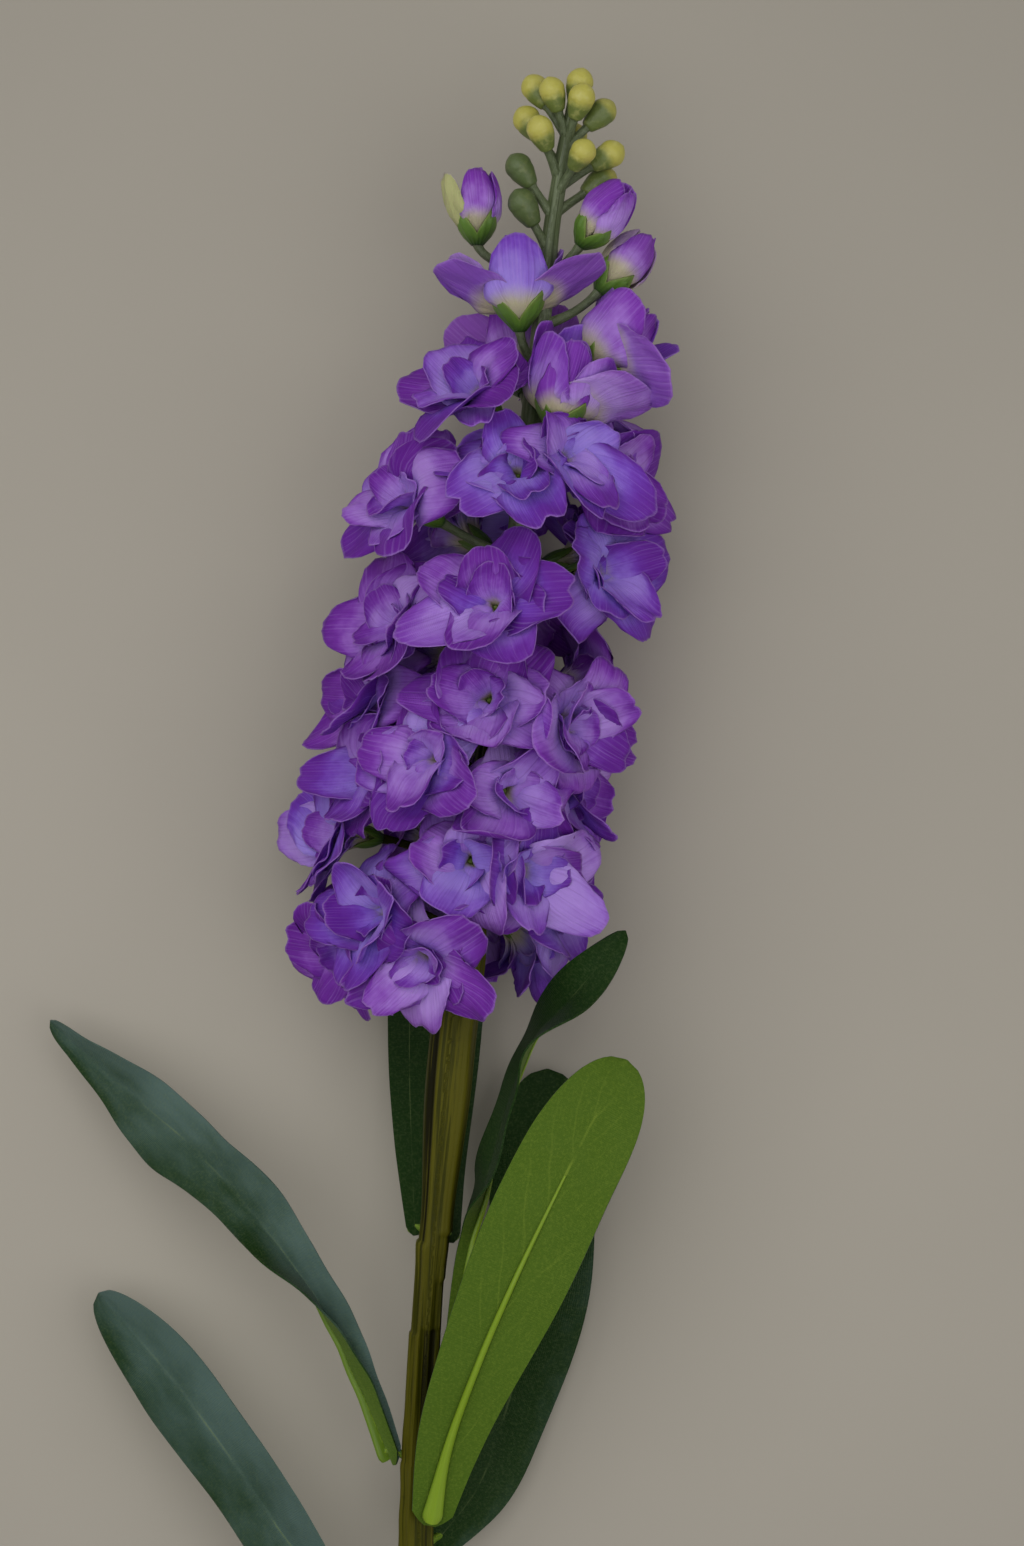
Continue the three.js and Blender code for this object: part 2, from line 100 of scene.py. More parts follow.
# Florets by kind, from the foot up: share of the spike, turn round it, reach of the throat, pitch of the face.
FLORETS = {
    "open": [
        (0.0, -88, 32, -26), (0.01, -24, 25, -30), (0.035, 128, 25, -24), (0.05, 178, 25, -12),
        (0.055, -54, 29, -4), (0.08, 92, 25, -8), (0.12, 40, 24, -10), (0.125, -2, 23, -2), (0.13, -95, 39, -2),
        (0.14, -142, 28, 0), (0.16, 158, 26, 0), (0.21, 20, 22, 0), (0.205, -82, 33, -2), (0.225, 102, 25, 0),
        (0.232, -40, 26, -4), (0.262, -165, 26, 4), (0.292, 60, 25, 4), (0.29, -88, 35, 4), (0.312, -10, 19, 8),
        (0.335, 128, 27, 5), (0.36, -132, 28, 8), (0.382, -80, 31, 12), (0.42, -12, 24, 14), (0.43, 176, 26, 8),
        (0.47, 80, 26, 8), (0.49, 128, 26, 14), (0.505, -138, 27, 18), (0.528, -74, 33, 24),
        (0.578, 90, 24, 12), (0.595, 38, 20, 18), (0.575, -6, 22, 24), (0.59, 176, 24, 22),
        (0.665, -62, 19, 42), (0.65, 125, 20, 32),
    ],
    "cup": [
        (0.705, 42, 14, 76), (0.752, 84, 26, 48), (0.818, -52, 11, 78), (0.735, -160, 19, 54),
    ],
    "closed": [
        (0.835, 95, 22, 54), (0.88, -92, 21, 80), (0.888, 76, 15, 60),
    ],
}
DEPTHS = {"open": 15.0, "cup": 20.0, "closed": 13.0}

# Buds: share of the spike, turn and reach.
BUDS = [
    (0.875, -70, 8.8), (0.915, -86, 10.8), (0.919, 112, 12), (0.942, 35, 8.4), (0.949, 92, 11.9),
    (0.958, -50, 9.3), (0.965, 170, 9), (0.97, -106, 11.5), (0.994, 100, 7.9), (1.002, 20, 5.4),
    (1.005, -62, 6.8), (1.008, -108, 11.2), (1.021, 90, 0.6),
]

# Leaves: share of the stem, turn, roll at the clip, share of the width, fold, side, and the route as
# across, along, up and roll. The last three are the depth of the blade's edge waves, their number, and
# how much painted bluish sheen of light it has.
LEAVES = {
    "left_low": (0.248, -80, 30, 0.86, 38, 0, [
        (-15.9, 18, 2.3, 24), (-25.8, 34, 2.4, 14), (-37.3, 50, 1.4, 4), (-51.9, 70, -3, -4),
        (-69.4, 91, -10.6, -4), (-89.7, 112, -18.2, 0)], 0.9, 3.1, 1.0),
    "right_back": (0.41, 152, -12, 1.02, 6, 0, [
        (15.2, 15, -12.4, -10), (22, 35, -17.9, -7), (26.3, 57, -22.6, -4), (28.3, 80, -26.3, -2),
        (28.1, 103, -29.2, 0), (26.9, 128, -31.5, 0)], 0.9, 2.4, 0.4),
    "right_front": (0.446, 22, 172, 0.96, -8, 0, [
        (7.1, 22, 10.2, 174), (14.4, 46, 14.2, 177), (22.4, 68, 16.6, 181), (30.9, 89, 16.4, 184),
        (38.5, 107, 13.6, 184), (46.8, 125, 9, 182)], 0.6, 2.2, 0.0),
    "left_high": (0.5, -82, -50, 0.68, 46, 0, [
        (-17.9, 23, 2.1, -40), (-30.8, 46, 1.3, -22), (-48.3, 67, -3, -8), (-66.6, 85, -8.8, 4),
        (-90.2, 103, -17.5, 12), (-108.7, 118, -24.7, 30)], 2.1, 3.6, 0.9),
    "right_twisted": (0.528, 46, 178, 0.78, 12, 0, [
        (7.4, 26, 5, 172), (9.8, 52, 4.4, 150), (13.2, 71, 4.6, 76), (17.2, 92, 5.2, 72),
        (22.5, 108.5, 6.6, 80), (32.2, 121, 7.7, 40), (42.7, 137, 8.9, -20)], 0.7, 2.7, 0.0),
    "under_left": (0.727, -138, 16, 0.42, 4, -1, [
        (-1.7, 22, -16.8, 8), (-4.9, 48, -28.2, 0), (-7, 76, -32, 0), (-7.3, 106, -33, 0)], 0.3, 2.0, 0.1),
    "under_right": (0.722, 140, -16, 0.42, 4, 1, [
        (-3.5, 22, -16.9, -8), (-3.8, 48, -28.3, 0), (-4.3, 76, -32.2, 0), (-4.6, 106, -33.3, 0)], 0.3, 2.3, 0.35),
}


# ---- Numbers and curves ----


def paint(red, green, blue):
    """A colour of 0 to 255 values as the linear colour that a shader takes."""
    return tuple(((c / 255 + 0.055) / 1.055) ** 2.4 if c > 10 else c / 255 / 12.92 for c in (red, green, blue))


def smooth(x, low, high):
    """0 below low, 1 above high, and an even ease between them."""
    t = np.clip((np.asarray(x, float) - low) / (high - low), 0, 1)
    return t * t * (3 - 2 * t)


def unit(v):
    """Vectors at length 1."""
    v = np.asarray(v, float)
    return v / np.maximum(np.linalg.norm(v, axis=-1, keepdims=True), 1e-12)


def cubic(b, c, into, outof, w):
    """From b to c at share w, with the slopes at both ends."""
    return b + into * w + (-3 * b + 3 * c - 2 * into - outof) * w**2 + (2 * b - 2 * c + into + outof) * w**3


def centripetal(points, t):
    """Points of a centripetal spline through stations, at shares t from 0 to 1 of its station count."""
    points = np.asarray(points, float)
    padded = np.array([2 * points[0] - points[1], *points, 2 * points[-1] - points[-2]])
    place = np.clip(np.asarray(t, float), 0, 1) * (len(points) - 1)
    i = np.minimum(place.astype(int), len(points) - 2)
    a, b, c, d = (padded[i + k] for k in range(4))
    ab, bc, cd = (np.sqrt(np.linalg.norm(q - p, axis=1))[:, None] for p, q in ((a, b), (b, c), (c, d)))
    into = ((b - a) / ab - (c - a) / (ab + bc) + (c - b) / bc) * bc
    outof = ((c - b) / bc - (d - b) / (bc + cd) + (d - c) / cd) * bc
    return cubic(b, c, into, outof, (place - i)[:, None])


def eased(values, t):
    """Numbers at shares t of an evenly spaced spline through values."""
    values = np.asarray(values, float)
    last = len(values) - 1
    place = np.clip(np.asarray(t, float), 0, 1) * last
    i = np.minimum(place.astype(int), last - 1)
    a, b, c, d = (values[np.clip(i + k, 0, last)] for k in (-1, 0, 1, 2))
    return cubic(b, c, (c - a) / 2, (d - b) / 2, place - i)


def centreline_table():
    """The stem's centreline in the frame, in millimetres, from the end of its wire."""
    bends = [(x, s * STEM_LENGTH, STEM_RADIUS + (SPIKE_HEIGHT - STEM_RADIUS) * h) for s, x, h in STEM_BENDS]
    bends += [(x, STEM_LENGTH + s * SPIKE_LENGTH, SPIKE_HEIGHT * h) for s, x, h in SPIKE_BENDS]
    line = centripetal(bends, np.linspace(0, 1, 2001))
    wire = np.array([v.co for v in frame["nodes"]["core_wire"].data.vertices], float) / MM
    cut = wire[wire[:, 1] < wire[:, 1].min() + 1.2].mean(0)
    return line, cut - np.array(bends[0])


LINE, SHIFT = centreline_table()
FLOOR = -SHIFT[2]
LINE_RUN = unit(np.gradient(LINE, axis=0))


def on_line(values, y):
    return np.stack([np.interp(y, LINE[:, 1], values[:, k]) for k in range(3)], 1)


def axis_at(y):
    """Points, directions along, up and to the side of the stem, at distances y from the cut end."""
    y = np.atleast_1d(np.asarray(y, float))
    point = on_line(LINE, y)
    along = unit(on_line(LINE_RUN, y))
    point = point + along * ((y - point[:, 1]) / along[:, 1])[:, None]
    side = unit(np.cross(along, UP))
    return point, along, np.cross(side, along), side


def spike_y(share):
    return STEM_LENGTH + share * SPIKE_LENGTH


def outward(y, turn):
    """The stem's point at y, its direction along, and the direction out of it at a turn."""
    point, along, up, side = (a[0] for a in axis_at(y))
    turn = math.radians(turn)
    return point, along, up * math.cos(turn) + side * math.sin(turn)


def stem_radius(y):
    """The stem's half width at distances y from the cut end."""
    grown = smooth(y, STEM_LENGTH * 0.74, STEM_LENGTH * 0.9)
    slim = smooth(y, STEM_LENGTH, spike_y(0.12))
    low = STEM_RADIUS + (COLLAR_RADIUS - STEM_RADIUS) * grown
    return low + (NECK_RADIUS - low) * slim


SOCKET_Y = spike_y(SOCKET_SHARE)
SIDE_FACING = 0.8
LOOK_UP = 0.75


class Floret:
    """Where one floret stands, and how it faces."""

    def __init__(self, number, kind, share, turn, reach, pitch):
        self.number, self.kind = number, kind
        point, along, out = outward(spike_y(share), turn)
        pitch = math.radians(pitch)
        self.facing = unit(out * math.cos(pitch) + along * math.sin(pitch))
        self.throat = point + out * reach
        self.foot = self.throat - self.facing * DEPTHS[kind]
        low = max(spike_y(-0.01), self.foot[1] - PEG_RISE)
        root_y = max(low, SOCKET_Y + 2 * PEG_RADIUS) if low > SOCKET_Y - PEG_RISE else low
        self.root = axis_at(root_y)[0][0]
        # The fabric of a side floret looks up a little more than its solid does.
        if kind == "open" and abs(self.facing[2]) < SIDE_FACING:
            self.facing = unit(self.facing + UP * LOOK_UP * (0.9 - abs(self.facing[2])))
            self.foot = self.throat - self.facing * DEPTHS[kind]
        # Local directions square to the facing: towards the light from above, and to its side.
        first = UP - self.facing * (UP @ self.facing)
        if np.linalg.norm(first) < 0.35:
            first = along - self.facing * (along @ self.facing)
        self.first = unit(first)
        self.second = np.cross(self.facing, self.first)

    def place(self, across, beside, height):
        """Local coordinates as points in the stem's own frame."""
        return (self.foot + across[:, None] * self.first + beside[:, None] * self.second
                + height[:, None] * self.facing)


KINDS = [(kind, *row) for kind, rows in FLORETS.items() for row in rows]
PLACED = [Floret(i + 1, *row) for i, row in enumerate(KINDS)]


# ---- Meshes ----


def deselect():
    if bpy.context.object and bpy.context.object.mode != "OBJECT":
        bpy.ops.object.mode_set(mode="OBJECT")
    bpy.ops.object.select_all(action="DESELECT")


def take(piece):
    """Makes a piece the only selected one, and the active one."""
    deselect()
    piece.select_set(True)
    bpy.context.view_layer.objects.active = piece


def grid(name, across, along):
    """A flat unit grid with a UV map, ready to be bent into a piece."""
    deselect()
    bpy.ops.mesh.primitive_grid_add(x_subdivisions=across, y_subdivisions=along, size=1, calc_uvs=True)
    piece = bpy.context.object
    piece.name = piece.data.name = name
    return piece


def coordinates(piece):
    co = np.zeros(len(piece.data.vertices) * 3)
    piece.data.vertices.foreach_get("co", co)
    return co.reshape(-1, 3)


def bend(piece, place):
    """Moves a grid's vertices to place(u, v), with u and v from 0 to 1. Points are in millimetres."""
    co = coordinates(piece)
    points = (place(co[:, 0] + 0.5, co[:, 1] + 0.5) + SHIFT) * MM
    piece.data.vertices.foreach_set("co", points.ravel())
    piece.data.update()
    return piece


def store(piece, name, values):
    """Keeps one number for each vertex, for the materials."""
    attribute = piece.data.attributes.new(name, "FLOAT", "POINT")
    attribute.data.foreach_set("value", np.asarray(values, np.float32))


def attribute(piece, name):
    values = np.zeros(len(piece.data.vertices), np.float32)
    piece.data.attributes[name].data.foreach_get("value", values)
    return values.astype(float)


def wrapped(name, sides, rows):
    """A grid to wrap round, which keeps its turn and its length for the materials."""
    piece = grid(name, sides, rows)
    co = coordinates(piece)
    store(piece, "round", co[:, 0] + 0.5)
    store(piece, "along", co[:, 1] + 0.5)
    return piece


def close_tube(piece, ends=True):
    """Joins a wrapped grid along its seam, fills its two ends and turns its faces out."""
    take(piece)
    bpy.ops.object.mode_set(mode="EDIT")
    bpy.ops.mesh.select_all(action="SELECT")
    bpy.ops.mesh.remove_doubles(threshold=2e-6)
    if ends:
        bpy.ops.mesh.select_all(action="DESELECT")
        bpy.ops.mesh.select_mode(type="EDGE")
        bpy.ops.mesh.select_non_manifold()
        bpy.ops.mesh.fill_holes(sides=0)
        bpy.ops.mesh.select_all(action="SELECT")
    bpy.ops.mesh.normals_make_consistent(inside=False)
    bpy.ops.object.mode_set(mode="OBJECT")
    return piece


def modify(piece, kind, **settings):
    """Adds a modifier and applies it."""
    take(piece)
    modifier = piece.modifiers.new(kind.title(), kind)
    for key, value in settings.items():
        setattr(modifier, key, value)
    bpy.ops.object.modifier_apply(modifier=modifier.name)
    return piece


def join(pieces, name):
    deselect()
    for piece in pieces:
        piece.select_set(True)
    bpy.context.view_layer.objects.active = pieces[0]
    if len(pieces) > 1:
        bpy.ops.object.join()
    pieces[0].name = pieces[0].data.name = name
    return pieces[0]


def finished(piece, finish, slot, *nodes, angle=60):
    """Smooths a piece, gives it its material, and ties it to the frame."""
    take(piece)
    bpy.ops.object.shade_smooth_by_angle(angle=math.radians(angle))
    if not piece.data.materials:
        piece.data.materials.append(finish)
    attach(piece, "root")
    if nodes:
        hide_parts(*nodes)
    return piece


def tube(name, path, radius, sides=12, rows=14, section=None):
    """A closed tube along path(v), of half width radius(v). A section shapes it round its turn."""

    def place(u, v):
        step = 1e-3
        point = path(v)
        run = unit(path(np.minimum(v + step, 1)) - path(np.maximum(v - step, 0)))
        side = unit(np.cross(run, UP))
        up = np.cross(side, run)
        turn = math.tau * u
        r = radius(v) * (section(turn, v) if section else 1)
        return point + side * (r * np.sin(turn))[:, None] + up * (r * np.cos(turn))[:, None]

    return close_tube(bend(wrapped(name, sides, rows), place))


# ---- Shader maths ----


class Value:
    """A shader socket that takes part in sums."""

    def __init__(self, finish, socket):
        self.finish, self.socket = finish, socket

    def __add__(self, other):
        return self.finish.sum("ADD", self, other)

    def __mul__(self, other):
        return self.finish.sum("MULTIPLY", self, other)

    def __sub__(self, other):
        return self.finish.sum("SUBTRACT", self, other)

    def __rsub__(self, other):
        return self.finish.sum("SUBTRACT", other, self)

    def __truediv__(self, other):
        return self.finish.sum("DIVIDE", self, other)

    def __rtruediv__(self, other):
        return self.finish.sum("DIVIDE", other, self)

    __radd__ = __add__
    __rmul__ = __mul__


class Finish:
    """One procedural material, built up from nodes."""

    def __init__(self, name):
        self.material = bpy.data.materials.new(name)
        self.material.use_nodes = True
        self.tree = self.material.node_tree
        self.tree.nodes.clear()

    def node(self, kind, settings=None, inputs=None, out=0):
        """Adds a node, its settings first and then its sockets' values or links, and takes one output."""
        node = self.tree.nodes.new("ShaderNode" + kind)
        for key, value in (settings or {}).items():
            setattr(node, key, value)
        for key, value in (inputs or {}).items():
            if isinstance(value, Value):
                self.tree.links.new(value.socket, node.inputs[key])
            elif value is not None:
                node.inputs[key].default_value = value
        return None if out is None else Value(self, node.outputs[out])

    def sum(self, operation, *values):
        return self.node("Math", {"operation": operation}, dict(enumerate(values)))

    def step(self, value, low, high):
        """0 below low, 1 above high, and a smooth ease between them."""
        return self.node("MapRange", {"interpolation_type": "SMOOTHSTEP"},
                         {"Value": value, "From Min": low, "From Max": high})

    def mix(self, share, first, second):
        """A colour between two colours."""
        first, second = (c if isinstance(c, Value) else (*c, 1) for c in (first, second))
        return self.node("Mix", {"data_type": "RGBA"}, {0: share, 6: first, 7: second}, 2)

    def attribute(self, name):
        return self.node("Attribute", {"attribute_name": name}, out="Fac")

    def uv(self):
        """The two UV numbers of a piece."""
        split = self.node("SeparateXYZ", None, {0: self.node("UVMap", {"uv_map": "UVMap"})})
        return split, Value(self, split.socket.node.outputs[1])

    def place(self):
        """A point's place in the frame, in metres."""
        return self.node("TexCoord", out="Object")

    def vector(self, x, y, z=0.0):
        return self.node("CombineXYZ", None, {0: x, 1: y, 2: z})

    def noise(self, vector, scale, detail=2.0, rough=0.5, warp=0.0):
        return self.node("TexNoise", None, {
            "Vector": vector, "Scale": scale, "Detail": detail, "Roughness": rough, "Distortion": warp})

    def streaks(self, size, length, detail, rough):
        """Streaks along a tube, with no seam round it."""
        turn = self.attribute("round") * math.tau
        sides = [self.sum(wave, turn) * size for wave in ("SINE", "COSINE")]
        return self.noise(self.vector(*sides, self.attribute("along") * length), 1.0, detail, rough)

    def bump(self, height, distance, strength=1.0):
        return self.node("Bump", None, {"Height": height, "Distance": distance, "Strength": strength})

    def done(self, colour, roughness, normal=None, **fixed):
        """Closes the material with a Principled shader. Fixed values go on its own sockets."""
        fixed = {key.replace("_", " ").title().replace("Ior", "IOR"): value for key, value in fixed.items()}
        shader = self.node("BsdfPrincipled", None, {
            "Base Color": colour, "Roughness": roughness, "Normal": normal, **fixed})
        self.node("OutputMaterial", None, {0: shader}, None)
        return self.material


def petal_finish(settings):
    """Printed fabric: a cream throat, a lilac blade whose lighter foot is a painted highlight, deep purple towards
    the edge and tip as painted shade, and a pale fray.
    """
    f = Finish("petal_fabric")
    u, v = f.uv()
    tone = f.attribute("tone")
    pale = f.attribute("pale")
    across = f.sum("ABSOLUTE", u * 2 - 1)
    edge = f.sum("MAXIMUM", across * f.step(v, 0.16, 0.4), v)
    drift = f.noise(f.vector(u * 2.2 + tone * 37, v * 2.6, tone * 11), 1.0, 3.0, 0.6)
    middle = f.mix(f.step(tone, 0.05, 0.65), settings.cool, settings.warm)
    light = f.mix(f.step(tone, 0.05, 0.6), settings.light_cool, settings.light)
    shade = (f.noise(f.vector(tone * 91, tone * 57), 1.0, 0.0) - 0.5) * 1.5
    # Painted highlight: lighter lilac towards the foot of the blade, fading to purple towards the tip.
    blade = f.mix(f.step(v + (drift - 0.5) * 0.9 + shade, 0.2, 0.9), light, middle)
    # Painted shade: deep purple towards the edge and the tip.
    deep = f.step(edge + (drift - 0.5) * 0.6 + shade * 0.9, 0.62, 1.06)
    blade = f.mix(deep * (0.8 - f.step(pale, 0.02, 0.3) * 0.5), blade, settings.deep)
    fan = (u - 0.5) / (v * 0.5 + 0.5)
    veins = f.noise(f.vector(fan * 30 + tone * 90, v * 1.2, tone * 5), 1.0, 2.0, 0.55)
    blade = f.mix(f.step(veins, 0.5, 0.76) * 0.3, blade, settings.deep)
    blade = f.mix(f.step(veins, 0.5, 0.24) * 0.26, blade, settings.light)
    throat = f.step(v + (drift - 0.5) * 0.16 - pale * 0.3, 0.4, 0.14)
    blade = f.mix(throat * 0.9, blade, settings.throat)
    blade = f.mix(f.step(pale, 0.5, 1.4), blade, settings.pale)
    blade = f.mix(f.step(pale, 1.0, 1.4) * 0.9, blade, settings.pale_green)
    fray = f.noise(f.vector(u * 60, v * 60, tone * 20), 1.0, 2.0, 0.7)
    rim = f.step(edge + (fray - 0.5) * 0.03, 0.972, 1.0)
    colour = f.mix(rim * 0.32, blade, settings.rim)
    thread = f.sum("SINE", u * 420) + f.sum("SINE", v * 470)
    height = veins * 0.9 + drift * 0.8 + thread * 0.04
    return f.done(
        colour, f.step(fray, 0.2, 0.9) * 0.12 + 0.6, f.bump(height, 0.0005, 0.7), sheen_weight=0.1,
        sheen_roughness=0.4, sheen_tint=(*settings.light, 1), subsurface_weight=0.15,
        subsurface_radius=(0.9, 0.5, 1.0), subsurface_scale=0.0016, specular_ior_level=0.22)


def leaf_finish(name, colour, painted_sheen_colour, vein_colour, relief, shine):
    """Woven leaf fabric with a broken midrib, faint pressed veins and a mottled painted sheen of light, stronger on
    one half of the blade.
    """
    f = Finish(name)
    u, v = f.uv()
    across = f.sum("ABSOLUTE", u * 2 - 1)
    bloom = f.attribute("bloom")
    place = f.place()
    cloud = f.noise(place, 60.0, 4.0, 0.6, 0.6)
    fine = f.noise(place, 1500.0, 2.0, 0.7)
    patch = f.noise(f.vector(u * 2.0, v * 6.0, bloom * 3), 1.0, 3.0, 0.6)
    wobble = f.noise(f.vector(u * 2, v * 5), 1.0, 2.0)
    lines = f.sum("SINE", (v * 9 - across * 2.4 + wobble * 0.9) * math.tau)
    vein = f.step(lines, 0.9, 1.0) * f.step(across, 0.98, 0.4) * f.step(wobble, 0.35, 0.6)
    # Painted sheen of light: mottled, stronger on one half of the blade and on the leaves given more of it.
    painted_sheen_mask = (u - 0.5) * 0.5 + patch * 0.9 + cloud * 0.15 + (bloom - 0.5) * 1.0
    base = f.mix(f.step(painted_sheen_mask, 0.5, 1.35), colour, painted_sheen_colour)
    base = f.mix(vein * relief * 0.12, base, vein_colour)
    base = f.mix(f.step(fine, 0.4, 0.75) * 0.13, base, vein_colour)
    midrib = f.step(across, 0.035, 0.012) * f.step(patch * 0.5 + cloud * 0.5, 0.44, 0.6)
    midrib = midrib * f.step(v, 0.93, 0.8)
    base = f.mix(midrib * 0.35, base, vein_colour)
    warp = f.sum("SINE", u * 330) + f.sum("SINE", v * 1500)
    height = warp * 0.12 + vein * relief * 0.5 + fine * 0.4 + cloud * 1.8 + midrib * 0.4
    return f.done(base, f.step(cloud, 0.3, 0.7) * 0.12 + shine, f.bump(height, 0.00028, 0.6),
                  sheen_weight=0.05, sheen_roughness=0.5, specular_ior_level=0.14)


def rib_finish(settings):
    """Moulded yellow-green plastic, paler along its crest."""
    f = Finish("rib_plastic")
    turn = f.attribute("round")
    along = f.attribute("along")
    crest = f.sum("COSINE", turn * math.tau) * -0.5 + 0.5
    streak = f.noise(f.vector(turn * 14, along * 3), 1.0, 3.0, 0.6)
    base = f.mix(f.step(crest + (streak - 0.5) * 0.6, 0.25, 1.0), settings.rib_dark, settings.rib)
    base = f.mix(f.step(streak, 0.55, 0.8) * 0.4, base, settings.rib_pale)
    return f.done(base, f.step(streak, 0.3, 0.7) * 0.15 + 0.36, f.bump(streak, 0.0003, 0.5),
                  subsurface_weight=0.12, subsurface_radius=(0.6, 1.0, 0.2), subsurface_scale=0.002)


def stem_finish(settings):
    """Olive-brown moulded plastic, streaked along its length, with painted shade in its grooves, painted highlight
    in pale streaks on its ridges, and dark flecks.
    """
    f = Finish("stem_plastic")
    groove = f.attribute("groove")
    streak = f.streaks(5, 9, 4.0, 0.65)
    fleck = f.noise(f.place(), 420.0, 3.0, 0.6)
    # Painted shade: the grooves of the relief are darker, broken up by the streaks.
    base = f.mix(f.step(groove + (streak - 0.5) * 0.8, 0.3, 0.75), settings.stem_fleck_and_groove_shade, settings.stem)
    # Painted highlight: pale streaks along the stem, a little more on its ridges.
    base = f.mix(f.step(streak + groove * 0.12, 0.58, 0.74) * 0.7, base, settings.stem_painted_highlight)
    base = f.mix(f.step(fleck, 0.62, 0.8) * 0.3, base, settings.stem_fleck_and_groove_shade)
    return f.done(base, f.step(streak, 0.3, 0.8) * 0.2 + 0.42, f.bump(streak * 0.7 + fleck * 0.3, 0.0005, 0.55),
                  specular_ior_level=0.12)


def sprig_finish(settings):
    """Grey-green moulded plastic, with pale flecks of painted silvery sheen."""
    f = Finish("sprig_plastic")
    streak = f.streaks(4, 8, 3.0, 0.6)
    fleck = f.noise(f.place(), 600.0, 2.0, 0.6)
    base = f.mix(f.step(streak, 0.3, 0.7), settings.sprig_dark, settings.sprig)
    # Painted sheen: pale silvery flecks over the plastic.
    base = f.mix(f.step(fleck, 0.55, 0.8) * 0.35, base, settings.sprig_painted_sheen)
    return f.done(base, f.step(streak, 0.2, 0.8) * 0.2 + 0.34, f.bump(streak * 0.6 + fleck * 0.4, 0.0004, 0.6))


def bud_finish(settings):
    """A green cup that fades into a yellow-cream tip."""
    f = Finish("bud_plastic")
    along = f.attribute("along")
    unripe = f.attribute("tone")
    blotch = f.noise(f.place(), 380.0, 3.0, 0.6)
    ripe = f.step(along + (blotch - 0.5) * 0.22 - unripe * 0.6, 0.36, 0.62)
    base = f.mix(ripe, settings.bud_cup, settings.bud_tip)
    base = f.mix(f.step(blotch, 0.5, 0.75) * 0.4, base, settings.bud_pale)
    base = f.mix(unripe * 0.75, base, settings.bud_unripe)
    return f.done(base, 0.42, f.bump(blotch, 0.0006, 0.55), subsurface_weight=0.12,
                  subsurface_radius=(0.8, 0.9, 0.3), subsurface_scale=0.0018)


def calyx_finish(settings):
    """Bright green moulded plastic with fine ribs, darker at its foot."""
    f = Finish("calyx_plastic")
    turn = f.attribute("round")
    along = f.attribute("along")
    blotch = f.noise(f.place(), 500.0, 2.0, 0.6)
    ribs = f.sum("COSINE", turn * math.tau * 16)
    base = f.mix(f.step(along + (blotch - 0.5) * 0.4, 0.0, 0.75), settings.calyx_dark, settings.calyx)
    base = f.mix(f.step(along, 0.75, 1.0) * 0.5, base, settings.calyx_tip)
    return f.done(base, 0.4, f.bump(ribs * 0.35 + blotch, 0.0003, 0.5))


def wire_finish():
    """Drawn steel wire."""
    f = Finish("drawn_steel")
    scratch = f.noise(f.place(), 2500.0, 2.0, 0.7)
    return f.done(f.mix(scratch, paint(110, 110, 112), paint(170, 170, 172)),
                  f.step(scratch, 0.3, 0.7) * 0.2 + 0.3, f.bump(scratch, 0.0001, 0.4), metallic=1.0)


def floor_finish(settings):
    """A plain matt table, a little darker away from its middle, which is painted shade."""
    f = Finish("table")
    cloud = f.noise(f.place(), 5.0, 3.0, 0.5)
    far = f.node("VectorMath", {"operation": "LENGTH"}, {0: f.place()}, 1)
    pale = tuple(min(1.0, c * 1.05) for c in settings.table)
    dark = tuple(c * 0.82 for c in settings.table)
    base = f.mix(f.step(cloud, 0.3, 0.7), settings.table, pale)
    # Painted shade: the table darkens away from its middle.
    base = f.mix(f.step(far, 0.08, 0.42), base, dark)
    return f.done(base, 0.9, None, specular_ior_level=0.1)


# ---- Petals ----

ANY_TURN = (0, 6.3)
PETAL_GRID = (14, 16)
# How florets crowd, in millimetres: how near a neighbour counts, how far petals may pass it, how much
# a rim rises over or sinks under it, how clear they stay of the stem and the table, and how softly.
NEAR = 46
OVERLAP = 6.5
OVER, UNDER = 2.6, -2.4
STEM_GAP, STEM_GIVE = 7, 3
TABLE_GAP, TABLE_GIVE = 0.8, 4

class Petal:
    """How one petal is cut, pressed and curled. Lengths are in millimetres, angles in degrees."""

    def __init__(self, turn, length, width, start, end, base, **press):
        self.turn, self.start, self.end = (math.radians(angle) for angle in (turn, start, end))
        self.length, self.width, self.base = length, width, base
        self.press = {"pale": 0.0, "claw": 0.2, "crease": 0.0, "flare": (0.12, 0.62), "roll": 0.0, **press}


